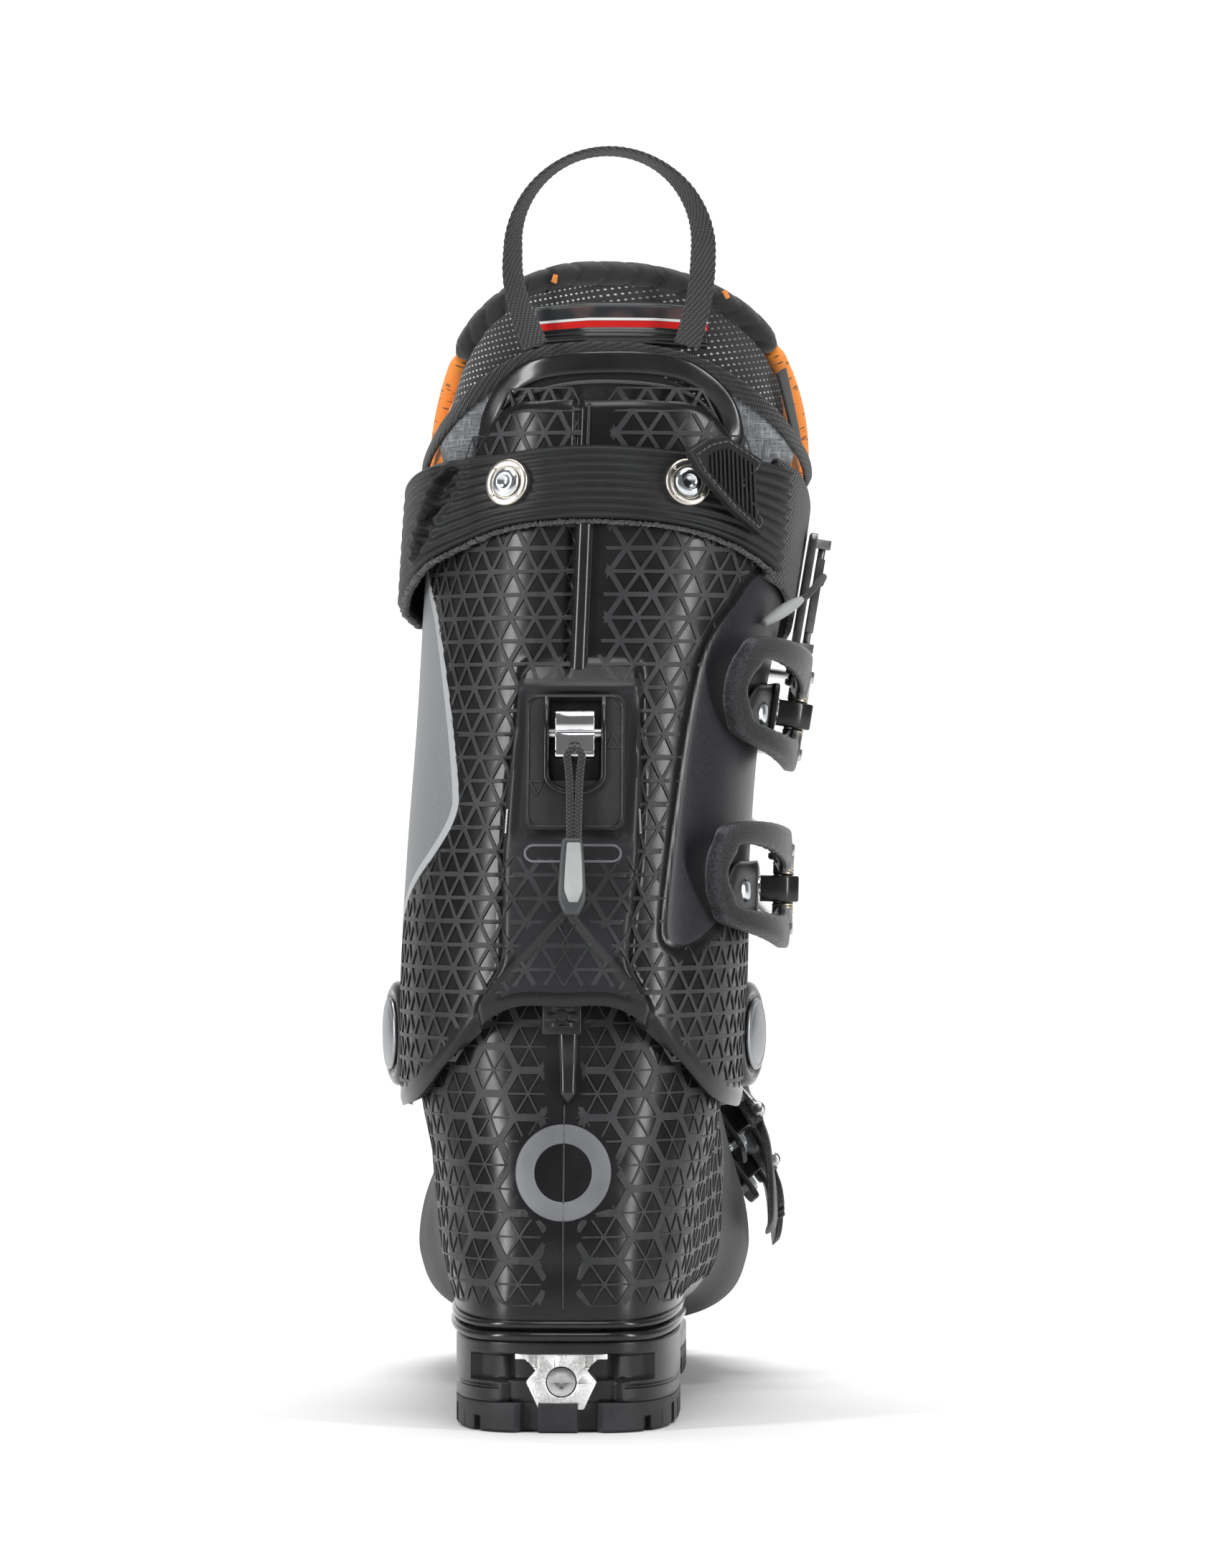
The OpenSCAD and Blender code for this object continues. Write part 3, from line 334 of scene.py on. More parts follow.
def sweep(name, path, section, mats=(), normals=None, closed=False, scale=None):
    """Tube of a closed section (across, out) along a path; normals give the section's out direction."""
    path = np.asarray(path, float)
    section = np.asarray(section, float)
    n = len(path)
    if closed:
        tangent = np.roll(path, -1, 0) - np.roll(path, 1, 0)
    else:
        tangent = np.gradient(path, axis=0)
    tangent = unit(tangent)
    if normals is None:
        out = np.zeros_like(path)
        ref = np.array([0.0, 0.0, 1.0]) if abs(tangent[0][2]) < 0.9 else np.array([1.0, 0.0, 0.0])
        for i in range(n):
            ref = unit(ref - tangent[i] * (ref @ tangent[i]))
            out[i] = ref
    else:
        out = np.broadcast_to(np.asarray(normals, float), path.shape)
        out = unit(out - tangent * np.sum(out * tangent, 1, keepdims=True))
    across = np.cross(tangent, out)
    size = np.ones(n) if scale is None else np.asarray(scale, float)
    pts = path[:, None] + size[:, None, None] * (
        section[None, :, 0:1] * across[:, None] + section[None, :, 1:2] * out[:, None])
    m = len(section)
    faces = [list(f) for f in grid_faces(n, m, wrap_rows=closed, wrap_cols=True)]
    if not closed:
        faces.append(list(range(m))[::-1])
        faces.append([(n - 1) * m + j for j in range(m)])
    run = run_of(path)
    girth = run_of(section)
    uv = np.stack(np.meshgrid(run, girth, indexing="ij"), -1)
    obj = new_mesh(name, pts.reshape(-1, 3), faces, mats, uv=uv.reshape(-1, 2))
    return fix_normals(obj)


def circle_section(r, n=12, squash=1.0):
    t = np.linspace(0, 2 * math.pi, n, endpoint=False)
    return np.stack([r * np.cos(t), r * squash * np.sin(t)], 1)


def slab_section(width, thickness, n=28, power=5.0):
    """Flat section with rounded ends, as a superellipse."""
    t = np.linspace(0, 360, n, endpoint=False)
    c, s = superellipse(t, power)
    return np.stack([c * width / 2, s * thickness / 2], 1)


def fix_normals(obj):
    return edit(obj, lambda bm: bmesh.ops.recalc_face_normals(bm, faces=bm.faces))


def box_mesh(name, low, high, mats=(), bevel=0.4, place=None):
    """Box with rounded edges."""
    low, high = np.asarray(low, float), np.asarray(high, float)
    corners = [[x, y, z] for x in (low[0], high[0]) for y in (low[1], high[1]) for z in (low[2], high[2])]
    faces = [[0, 1, 3, 2], [4, 6, 7, 5], [0, 4, 5, 1], [2, 3, 7, 6], [0, 2, 6, 4], [1, 5, 7, 3]]
    obj = new_mesh(name, corners, faces, mats)
    modifier(obj, "BEVEL", width=bevel * MM, segments=2, limit_method="NONE")
    apply_modifiers(obj)
    return obj if place is None else move_to(obj, place)


def prism(name, outline, low, high, mats=(), bevel=0.3, place=None, segments=2):
    """Plate of an outline in x and y between two heights, with rounded edges."""
    outline = np.asarray(outline, float)
    n = len(outline)
    verts = np.concatenate([np.c_[outline, np.full(n, low)], np.c_[outline, np.full(n, high)]])
    faces = [list(range(n))[::-1], list(range(n, 2 * n))]
    faces += [[i, (i + 1) % n, n + (i + 1) % n, n + i] for i in range(n)]
    obj = fix_normals(new_mesh(name, verts, faces, mats, smooth_faces=False))
    if bevel:
        round_edges(obj, bevel, 30, segments)
        apply_modifiers(obj)
    return obj if place is None else move_to(obj, place)


def rounded_rect(width, length, r, n=6, centre=(0, 0)):
    """Outline of a rectangle with round corners."""
    pts = []
    for q, (sx, sy) in enumerate([(1, 1), (-1, 1), (-1, -1), (1, -1)]):
        for i in range(n + 1):
            t = math.radians(90 * q + 90 * i / n)
            pts.append([centre[0] + sx * (width / 2 - r) + r * math.cos(t),
                        centre[1] + sy * (length / 2 - r) + r * math.sin(t)])
    return np.array(pts)


def shade_by_angle(obj, degrees=35):
    obj.data.polygons.foreach_set("use_smooth", [True] * len(obj.data.polygons))
    obj.data.set_sharp_from_angle(angle=math.radians(degrees))
    return obj


# ---- materials ----
SHINE = 0.62


class Value:
    """Output of a shader node; + - * / on it add math nodes."""

    def __init__(self, nodes, socket):
        self.nodes = nodes
        self.socket = socket

    def __add__(self, other):
        return self.nodes.math("ADD", self, other)

    def __radd__(self, other):
        return self.nodes.math("ADD", other, self)

    def __sub__(self, other):
        return self.nodes.math("SUBTRACT", self, other)

    def __rsub__(self, other):
        return self.nodes.math("SUBTRACT", other, self)

    def __mul__(self, other):
        return self.nodes.math("MULTIPLY", self, other)

    def __truediv__(self, other):
        return self.nodes.math("DIVIDE", self, other)


class Nodes:
    """Small helper that builds one node material."""

    def __init__(self, name, rough=0.5, metal=0.0, coat=0.0, sheen=0.0, specular=0.5):
        self.mat = bpy.data.materials.new(name)
        self.mat.use_nodes = True
        self.tree = self.mat.node_tree
        self.bsdf = self.tree.nodes["Principled BSDF"]
        self.set(self.bsdf, Roughness=rough, Metallic=metal, Coat_Weight=coat, Coat_Roughness=0.08,
                 Sheen_Weight=sheen, Specular_IOR_Level=SHINE * specular)

    def set(self, node, **inputs):
        for key, value in inputs.items():
            self.put(node.inputs[key.replace("_", " ")], value)

    def put(self, socket, value):
        if isinstance(value, Value):
            self.tree.links.new(value.socket, socket)
        elif hasattr(socket.default_value, "__len__") and not hasattr(value, "__len__"):
            socket.default_value = [value] * 3 + [1.0] * (len(socket.default_value) - 3)
        elif hasattr(value, "__len__") and len(socket.default_value) == 4 and len(value) == 3:
            socket.default_value = (*value, 1.0)
        else:
            socket.default_value = value

    def node(self, kind, values=(), **props):
        """New node with its settings, and values for its inputs in their order."""
        n = self.tree.nodes.new(kind)
        for key, value in props.items():
            setattr(n, key, value)
        for socket, value in zip(n.inputs, values):
            self.put(socket, value)
        return n

    def math(self, op, a, b=0.0):
        return Value(self, self.node("ShaderNodeMath", (a, b), operation=op).outputs[0])

    def centred(self, a):
        """Place inside a cell of width 1, from -0.5 to 0.5."""
        return self.math("FRACT", a) - 0.5

    def step(self, value, low, high):
        """0 below low to 1 above high, smoothly."""
        n = self.node("ShaderNodeMapRange", interpolation_type="SMOOTHSTEP")
        self.set(n, Value=value, From_Min=low, From_Max=high)
        return Value(self, n.outputs["Result"])

    def between(self, value, low, high, soft=0.15):
        """1 from low to high with soft ends above both."""
        return self.step(value, low, low + soft) * (1.0 - self.step(value, high, high + soft))

    def mix(self, factor, a, b):
        n = self.node("ShaderNodeMix", data_type="RGBA")
        for key, value in ((0, factor), (6, a), (7, b)):
            self.put(n.inputs[key], value)
        return Value(self, n.outputs[2])

    def mixf(self, factor, a, b):
        n = self.node("ShaderNodeMix", data_type="FLOAT")
        for key, value in ((0, factor), (2, a), (3, b)):
            self.put(n.inputs[key], value)
        return Value(self, n.outputs[0])

    def position(self):
        """Object coordinates in millimetres."""
        place = Value(self, self.node("ShaderNodeTexCoord").outputs["Object"])
        n = self.node("ShaderNodeVectorMath", operation="SCALE")
        self.set(n, Vector=place, Scale=1 / MM)
        return Value(self, n.outputs[0])

    def attribute(self, name, output="Fac"):
        return Value(self, self.node("ShaderNodeAttribute", attribute_name=name).outputs[output])

    def wrap(self):
        """The three numbers of the wrap attribute: lengths in millimetres along and across, and a share."""
        return self.parts(self.attribute("wrap", "Vector"))

    def noise(self, vector, scale, detail=3.0, rough=0.5):
        n = self.node("ShaderNodeTexNoise")
        self.set(n, Vector=vector, Scale=scale, Detail=detail, Roughness=rough)
        return Value(self, n.outputs["Fac"])

    def voronoi(self, vector, scale):
        n = self.node("ShaderNodeTexVoronoi")
        self.set(n, Vector=vector, Scale=scale)
        return Value(self, n.outputs["Distance"])

    def parts(self, vector):
        return [Value(self, s) for s in self.node("ShaderNodeSeparateXYZ", (vector,)).outputs]

    def join(self, x, y, z=0.0):
        return Value(self, self.node("ShaderNodeCombineXYZ", (x, y, z)).outputs[0])

    def bump(self, height, distance):
        """Bump of a height from 0 to 1 over a distance in millimetres."""
        n = self.node("ShaderNodeBump")
        self.set(n, Height=height, Distance=distance * MM, Strength=1.0)
        return Value(self, n.outputs[0])

    def done(self, color, rough, normal=None):
        self.set(self.bsdf, Base_Color=color, Roughness=rough)
        if normal is not None:
            self.set(self.bsdf, Normal=normal)
        return self.mat


def moulded(name, dark, light, rough, grain, coat=0.0, specular=0.5):
    """Moulded plastic, rubber or painted metal: cloudy colour, fine grain, uneven roughness."""
    n = Nodes(name, coat=coat, specular=specular)
    p = n.position()
    cloud = n.noise(p, 0.05, 4, 0.6)
    scuff = n.step(n.noise(p, 0.5, 5, 0.75), 0.55, 0.75)
    color = n.mix(n.step(cloud, 0.3, 0.7), dark, light)
    return n.done(color, n.mixf(cloud, *rough) + scuff * 0.06, n.bump(n.noise(p, 3.0, 2, 0.7), grain))


def metal(name, color, rough, grain, dirt=0.25):
    """Bare or plated metal: fine grain, and darker where dirt stays."""
    n = Nodes(name, metal=1.0)
    p = n.position()
    g = n.noise(p, 2.0, 4, 0.7)
    cloud = n.step(n.noise(p, 0.15, 3, 0.6), 0.35, 0.65)
    tone = n.mix(cloud, [c * (1 - dirt) for c in color], color)
    return n.done(tone, n.mixf(g, rough * 0.8, rough * 1.3), n.bump(g, grain))


def cast(name, color, rough, depth, metal_share):
    """Rough cast metal: a lumpy sandy skin, lighter where it is worn."""
    n = Nodes(name, metal=metal_share)
    p = n.position()
    lumps = n.noise(p, 1.5, 5, 0.75)
    pointed = Value(n, n.node("ShaderNodeNewGeometry").outputs["Pointiness"])
    worn = n.step(pointed + lumps * 0.06, 0.53, 0.6)
    light = [min(1, c * 2.6 + 0.03) for c in color]
    tone = n.mix(n.step(lumps, 0.4, 0.62), [v * 0.6 for v in color], color)
    height = lumps + n.voronoi(p, 2.2) * 0.5
    return n.done(n.mix(worn, tone, light), n.mixf(lumps, rough * 0.7, rough * 1.25), n.bump(height, depth))


def weave(name, dark, light, pitch, depth, sheen=0.3, twill=0.0):
    """Woven cloth on the wrap attribute: threads over and under, pitch in millimetres."""
    n = Nodes(name, sheen=sheen)
    u, v, _ = n.wrap()
    pos = n.position()
    wobble = (n.noise(pos, 0.4) - 0.5) * 0.35
    a = u / pitch[0] + wobble
    b = (v + u * twill) / pitch[1] + wobble
    row = n.math("FLOOR", b)
    fa = n.centred(a + n.math("MODULO", n.math("ABSOLUTE", row), 2.0) * 0.5)
    fb = n.centred(b)
    height = (1.0 - fa * fa * 4.0) * (1.0 - fb * fb * 4.0)
    fibre = n.noise(pos, 4.0, 3, 0.8)
    # painted light and shade: threads lighter on their crowns and darker in the gaps between them, with random
    # fibre tone on top
    color = n.mix(height * (0.5 + fibre), dark, light)
    return n.done(color, n.mixf(fibre, 0.7, 0.85), n.bump(height + fibre * 0.15, depth))


def skin_material(name, with_panels):
    """Shell plastic: glossy black where the triangles lie, with panels drawn from distance attributes."""
    n = Nodes(name)
    p = n.position()
    cloud = n.step(n.noise(p, 0.035, 3, 0.6), 0.3, 0.7)
    fine = n.noise(p, 2.6, 3, 0.7)
    color = n.mix(cloud, (0.008, 0.008, 0.009), (0.014, 0.014, 0.015))
    rough = n.mixf(cloud, 0.2, 0.28)
    grain = fine * 0.25
    matte = n.step(n.attribute("matte"), 0.35, 0.65)
    color = n.mix(matte, color, (0.02, 0.02, 0.022) if with_panels else (0.012, 0.012, 0.013))
    rough = n.mixf(matte, rough, n.mixf(fine, 0.34, 0.42) if with_panels else n.mixf(fine, 0.5, 0.6))
    x = n.parts(p)
    if with_panels:
        inner = n.attribute("inner_panel")
        outer = n.attribute("outer_panel")
        # painted light: the grey of the inner panel turns lighter towards the top, where the light falls,
        # besides its random specks
        grade = n.step(x[2], 120.0, 280.0)
        stripe = n.step(inner, -0.15, 0.15)
        color = n.mix(stripe, color, (0.36, 0.37, 0.38))
        panel = n.step(inner, 2.7, 2.95)
        speck = n.step(n.noise(p, 1.4, 4, 0.8), 0.45, 0.7)
        light = n.mix(speck, n.mix(grade, (0.15, 0.155, 0.16), (0.2, 0.205, 0.21)), (0.24, 0.245, 0.25))
        color = n.mix(panel, color, light)
        rough = n.mixf(stripe, rough, n.mixf(speck, 0.42, 0.52))
        line = n.step(outer, -0.15, 0.15)
        color = n.mix(line, color, (0.006, 0.006, 0.007))
        rough = n.mixf(line, rough, 0.22)
        field = n.step(outer, 2.6, 2.9)
        dust = n.mix(speck, (0.018, 0.018, 0.021), (0.032, 0.032, 0.036))
        color = n.mix(field, color, dust)
        rough = n.mixf(field, rough, n.mixf(speck, 0.33, 0.44))
        grain = n.mixf(n.math("MAXIMUM", panel, field), grain, fine)
    rim = n.step(n.attribute("rim"), 0.4, 0.6)
    color = n.mix(rim, color, (0.012, 0.012, 0.013))
    rough = n.mixf(rim, rough, 0.26)
    scratch = n.noise(n.join(x[0] * 1.2, x[1] * 1.2, x[2] * 0.12), 1.0, 4.0)
    return n.done(color, rough + n.step(scratch, 0.6, 0.75) * 0.05, n.bump(grain, 0.05))


def mesh_cloth():
    """Liner cloth: black knit with rows of light holes, orange knit at the sides, plain lining inside."""
    n = Nodes("liner_mesh", sheen=0.25)
    s, z, zone = n.wrap()
    p = n.position()
    # slanted rows of holes
    fa = n.centred((s + z * 0.5) / 2.3)
    fb = n.centred((z - s * 0.12) / 2.0)
    reach = n.math("SQRT", fa * fa * 1.3 + fb * fb * 2.6)
    hole = 1.0 - n.step(reach, 0.2, 0.3)
    grade = n.step(n.noise(p, 0.05, 2, 0.5), 0.35, 0.6)
    fibre = n.noise(p, 3.0, 4, 0.8)
    knit = n.mix(fibre, (0.008, 0.008, 0.009), (0.03, 0.03, 0.032))
    back = n.mix(hole, knit, n.mix(grade, (0.2, 0.2, 0.2), (0.62, 0.63, 0.62)))
    # orange knit with black flecks
    fleck = 1.0 - n.step(n.voronoi(n.join(s, z * 0.6), 0.75), 0.18, 0.3)
    yarn = n.mix(fibre, (0.75, 0.2, 0.02), (0.95, 0.34, 0.05))
    orange = n.mix(fleck * 0.85, yarn, (0.03, 0.02, 0.015))
    side = n.step(n.attribute("orange"), 0.45, 0.55)
    row = n.step(n.math("FRACT", z * 0.35), 0.2, 0.5)
    lining = n.mix(row, (0.016, 0.016, 0.017), (0.035, 0.035, 0.037))
    color = n.mix(n.step(zone, 0.4, 0.6), n.mix(side, back, orange), lining)
    height = n.mixf(side, (1.0 - hole) + fibre * 0.4, fibre * 0.6 - fleck * 0.5)
    return n.done(color, n.mixf(fibre, 0.7, 0.95), n.bump(height, 0.35))


def hash_fabric(name, dark, light):
    """Brushed cloth with crossing threads of uneven tone."""
    n = Nodes(name, sheen=0.2)
    x = n.parts(n.position())
    across = n.noise(n.join(x[0] * 0.15, 0.0, x[2] * 1.5), 1.0, 4, 0.8)
    along = n.noise(n.join(x[0] * 1.5, 3.0, x[2] * 0.15), 1.0, 4, 0.8)
    tone = n.step(n.math("MAXIMUM", across, along), 0.45, 0.68)
    return n.done(n.mix(tone, dark, light), 0.85, n.bump(tone, 0.1))


def braid():
    """Braided cord: crossing slanted strands."""
    n = Nodes("braid", sheen=0.3)
    u, v, _ = n.wrap()
    one, two = (n.math("ABSOLUTE", n.math("SINE", w)) for w in (u * 2.6 + v * 1.75, u * 2.6 - v * 1.75))
    # painted light and shade: strands lighter on their crowns and darker where they dip between each other
    h = one * two
    return n.done(n.mix(h, (0.006, 0.006, 0.007), (0.05, 0.05, 0.052)), 0.8, n.bump(h, 0.25))


def reflector_material():
    """Glossy strip: dark field, a white line and a red stripe along its length, under a clear coat."""
    n = Nodes("reflector_gloss", coat=0.6)
    across = n.wrap()[1]
    haze = n.noise(n.position(), 0.06, 2, 0.5)
    low = 1.0 - n.step(across, 5.5, 5.7)
    color = n.mix(n.step(haze, 0.4, 0.6), (0.02, 0.022, 0.025), (0.085, 0.055, 0.055))
    color = n.mix(low, color, (0.008, 0.008, 0.009))
    color = n.mix(n.step(across, 12.3, 12.6), color, (0.05, 0.055, 0.055))
    color = n.mix(n.between(across, 5.7, 7.8), color, (0.45, 0.012, 0.01))
    color = n.mix(n.between(across, 7.9, 8.7), color, (0.6, 0.6, 0.59))
    tubes = n.math("SINE", across * 2.2)
    return n.done(color, n.mixf(haze, 0.12, 0.25), n.bump(tubes * low, 0.4))


# key: name, dark and light colour, least and most roughness, grain depth in mm, clear coat, specular share
MOULDED = {
    "band": ("shell_band", (0.028, 0.029, 0.03), (0.042, 0.043, 0.045), (0.4, 0.5), 0.06, 0, 0.4),
    "rim": ("gloss_black", (0.01, 0.01, 0.011), (0.018, 0.018, 0.019), (0.14, 0.24), 0.02, 0.2),
    "block": ("block_black", (0.012, 0.012, 0.013), (0.022, 0.022, 0.024), (0.26, 0.36), 0.05),
    "tread": ("tread_rubber", (0.016, 0.016, 0.018), (0.034, 0.035, 0.038), (0.45, 0.6), 0.12),
    "strap": ("strap_rubber", (0.012, 0.012, 0.013), (0.019, 0.02, 0.021), (0.4, 0.5), 0.05, 0, 0.4),
    "plate": ("plate_black", (0.02, 0.021, 0.02), (0.028, 0.029, 0.029), (0.42, 0.52), 0.06),
    "black": ("satin_black", (0.012, 0.012, 0.013), (0.024, 0.024, 0.025), (0.28, 0.4), 0.05),
    "tab_dark": ("tab_dark", (0.05, 0.052, 0.055), (0.075, 0.078, 0.08), (0.4, 0.5), 0.05),
    "tab_light": ("tab_light", (0.3, 0.31, 0.31), (0.4, 0.41, 0.41), (0.45, 0.55), 0.05),
    "mark": ("mark_grey", (0.13, 0.135, 0.145), (0.17, 0.175, 0.185), (0.35, 0.45), 0.04),
    "board": ("board_foam", (0.12, 0.12, 0.12), (0.2, 0.2, 0.2), (0.7, 0.8), 0.25)}
# key: name, colour, roughness, grain depth in mm, how much darker the dirt is
METALS = {
    "chrome": ("chrome", (0.86, 0.86, 0.88), 0.09, 0.004, 0.08),
    "steel": ("steel", (0.6, 0.6, 0.6), 0.26, 0.02),
    "spring": ("spring", (0.62, 0.57, 0.46), 0.3, 0.02),
    "nickel": ("nickel", (0.62, 0.58, 0.52), 0.3, 0.012, 0.12),
    "dome": ("zinc_dome", (0.72, 0.76, 0.78), 0.2, 0.02, 0.2),
    "cap": ("cap_satin", (0.36, 0.37, 0.38), 0.34, 0.015, 0.1),
    "cam": ("cam_metal", (0.2, 0.205, 0.21), 0.34, 0.03)}
# key: name, dark colour (painted shade in the gaps between threads) and light colour (painted light on their
# crowns), thread pitch along and across, depth in mm, sheen, slant of the rows
WEAVES = {
    "roll": ("roll_cloth", (0.004, 0.004, 0.005), (0.016, 0.016, 0.017), (0.55, 0.45), 0.12, 0.3, 0.3),
    "thread": ("stitch_thread", (0.02, 0.02, 0.022), (0.11, 0.11, 0.115), (0.3, 0.3), 0.08),
    "orange_thread": ("orange_thread", (0.6, 0.16, 0.02), (0.95, 0.36, 0.06), (0.3, 0.3), 0.08),
    "binding": ("binding_tape", (0.003, 0.003, 0.004), (0.022, 0.022, 0.024), (0.8, 1.5), 0.5, 0.3, -0.35),
    "tape": ("loop_tape", (0.006, 0.006, 0.007), (0.07, 0.07, 0.074), (0.7, 1.5), 0.35, 0.2, 0.6),
    "web": ("coarse_web", (0.006, 0.006, 0.007), (0.045, 0.045, 0.048), (1.7, 1.25), 0.55, 0.3, 0.2),
    "lining": ("lining", (0.014, 0.014, 0.015), (0.04, 0.04, 0.042), (1.2, 1.2), 0.2),
    "label": ("side_label", (0.004, 0.004, 0.005), (0.014, 0.014, 0.015), (0.5, 0.5), 0.1)}


def materials():
    m = {key: moulded(*row) for key, row in MOULDED.items()}
    m.update({key: metal(*row) for key, row in METALS.items()})
    m.update({key: weave(*row) for key, row in WEAVES.items()})
    m["skin"] = skin_material("shell_skin", True)
    m["shell"] = skin_material("shell_low_skin", False)
    m["cast_silver"] = cast("cast_silver", (0.62, 0.63, 0.61), 0.36, 0.14, 1.0)
    m["cast_dark"] = cast("cast_dark", (0.05, 0.051, 0.054), 0.3, 0.6, 0.85)
    m["mesh"] = mesh_cloth()
    m["hash"] = hash_fabric("hash_cloth", (0.1, 0.105, 0.11), (0.42, 0.44, 0.46))
    m["braid"] = braid()
    m["reflector"] = reflector_material()
    return m


M = materials()


# ---- the relief of bands and triangles ----
TRIANGLE = 8.4


def signed_distance(points, outline):
    """Distance of 2-D points to a closed outline, positive inside."""
    p = np.asarray(points, float)[:, None, :]
    a = np.asarray(outline, float)
    b = np.roll(a, -1, 0)
    d = b - a
    t = np.clip(np.sum((p - a) * d, -1) / np.sum(d * d, -1), 0, 1)
    near = np.linalg.norm(p - (a + t[..., None] * d), axis=-1).min(1)
    y, x = p[..., 1], p[..., 0]
    crosses = (a[:, 1] > y) != (b[:, 1] > y)
    at = a[:, 0] + (y - a[:, 1]) / np.where(d[:, 1] == 0, 1e-9, d[:, 1]) * d[:, 0]
    inside = np.sum(crosses & (x < at), 1) % 2 == 1
    return np.where(inside, near, -near)


def closed_curve(keys, n=8):
    """Smooth closed outline through keys."""
    k = np.asarray(keys, float)
    k = np.concatenate([k[-2:], k, k[:3]])
    return spline(k, np.arange(2, len(k) - 3, 1 / n))


def band_net(name, place, mask, size, border, spoke, start, rise=0.38):
    """Raised bands on a surface: hexagons of six triangles, with wide bands round a hexagon and thin ones
    inside it, alike on both sides. place(s, z, offset) gives points, and mask(s, z) is 1 where the bands
    stand and 0 where they sink away."""
    high = TRIANGLE * math.sqrt(3) / 2
    across, low, top = size
    rows = np.arange(int((low - start[1]) // high), int((top - start[1]) // high) + 1)
    cols = np.arange(-int(across // TRIANGLE) - len(rows), int(across // TRIANGLE) + len(rows))
    i, j = (v.ravel() for v in np.meshgrid(cols, rows, indexing="ij"))
    corners = np.concatenate([np.stack([[i, j], [i + 1, j], [i, j + 1]]),
                              np.stack([[i + 1, j], [i + 1, j + 1], [i, j + 1]])], 2)
    ci, cj = corners[:, 0], corners[:, 1]
    kind = np.mod(ci - cj, 3)
    flat = np.stack([start[0] + TRIANGLE * (ci + cj / 2), start[1] + high * cj], -1)
    middle = flat.mean(0)
    keep = (middle[:, 0] < across) & (middle[:, 1] > low - high) & (middle[:, 1] < top + high)
    keep &= middle[:, 0] > 0
    flat, kind = flat[:, keep], kind[:, keep]
    lam = np.zeros(kind.shape)
    for k in range(3):
        ends = kind[[(k + 1) % 3, (k + 2) % 3]]
        lam[k] = np.where((ends == 0).any(0), spoke / 2, border / 2) / high
    inner = np.zeros(flat.shape)
    for k in range(3):
        m, q = (k + 1) % 3, (k + 2) % 3
        inner[k] = flat[k] * (1 - lam[m] - lam[q])[:, None]
        inner[k] += flat[m] * lam[m][:, None] + flat[q] * lam[q][:, None]

    def with_mids(c):
        return np.stack([c[0], (c[0] + c[1]) / 2, c[1], (c[1] + c[2]) / 2, c[2], (c[2] + c[0]) / 2], 1)

    ring_out, ring_in = with_mids(flat), with_mids(inner)
    flip = np.array([-1.0, 1.0])
    ring_out, ring_in = (np.concatenate([r, (r * flip)[:, ::-1]]) for r in (ring_out, ring_in))
    shape = ring_out.shape[:2]
    m_out = mask(ring_out[..., 0].ravel(), ring_out[..., 1].ravel()).reshape(shape)
    m_in = mask(ring_in[..., 0].ravel(), ring_in[..., 1].ravel()).reshape(shape)
    keep = m_out.max(1) > 0.02
    ring_out, ring_in, m_out, m_in = ring_out[keep], ring_in[keep], m_out[keep], m_in[keep]
    sunk = -0.25
    layers = [(ring_out, sunk + (rise - sunk) * m_out), (ring_in, sunk + (rise - sunk) * m_in),
              (ring_in, np.full(m_in.shape, sunk - 0.1))]
    verts = [place(r[..., 0].ravel(), r[..., 1].ravel(), o.ravel()) for r, o in layers]
    n = len(ring_out)
    base = np.arange(n)[:, None] * 6
    k = np.arange(6)[None]
    k2 = (k + 1) % 6
    o, t, b = 0, n * 6, n * 12
    top_faces = np.stack([o + base + k, o + base + k2, t + base + k2, t + base + k], -1).reshape(-1, 4)
    walls = np.stack([t + base + k, t + base + k2, b + base + k2, b + base + k], -1).reshape(-1, 4)
    obj = new_mesh(name, np.concatenate(verts), np.concatenate([top_faces, walls]), [M["band"]],
                   smooth_faces=False)
    return edit(obj, lambda bm: bmesh.ops.remove_doubles(bm, verts=bm.verts, dist=0.02 * MM))


# ---- cuff ----
ARC_DIRS = np.linspace(-215, 215, 861)
ARC_AT_Z = 205
GIRTH = run_of(leg(ARC_DIRS, ARC_AT_Z))
ARC_LENGTH = GIRTH - np.interp(0, ARC_DIRS, GIRTH)


def arc_of(a):
    """Distance round the leg from the spine, in millimetres, of direction a."""
    return np.interp(a, ARC_DIRS, ARC_LENGTH)


def dir_of(s):
    """Direction at distance s round the leg from the spine."""
    return np.interp(s, ARC_LENGTH, ARC_DIRS)


def panel(keys):
    """Smooth outline through (direction, height) keys, with distances round the leg for directions."""
    k = np.asarray(keys, float)
    return closed_curve(np.stack([arc_of(k[:, 0]), k[:, 1]], 1))


# outlines of the smooth panels, as (direction, height)
INNER_PANEL = panel([[-84, 276], [-66, 262], [-56, 249], [-47, 225], [-40.5, 201], [-40, 190], [-47, 179],
                     [-60, 168], [-84, 151], [-112, 150], [-134, 178], [-138, 215], [-132, 246], [-108, 270]])
OUTER_PANEL = panel([[38, 147], [31, 149.5], [29.3, 156], [30.5, 172], [32.5, 194], [34.5, 218], [37.5, 243],
                     [45, 257], [57, 269], [84, 274], [112, 262], [134, 238], [140, 205], [132, 178],
                     [108, 164], [80, 163], [60, 158], [46, 150]])
WALK_Z = 208
HOUSING_REACH = 60


def spine_gap(a, z):
    """Sideways distance from the leg's spine, positive outwards."""
    return leg(a, z)[..., 0] - leg(0, z)[..., 0]


def ridge_height(a):
    """Height of the slanting ridge from the housing to the lobe."""
    return 145 - 1.22 * (np.abs(a) - 14)


def wing(a, z):
    """1 in the sunk corner between the housing and the slanting ridge."""
    return smooth(0, 3.4, ridge_height(a) - z) * smooth(38, 33, np.abs(a))


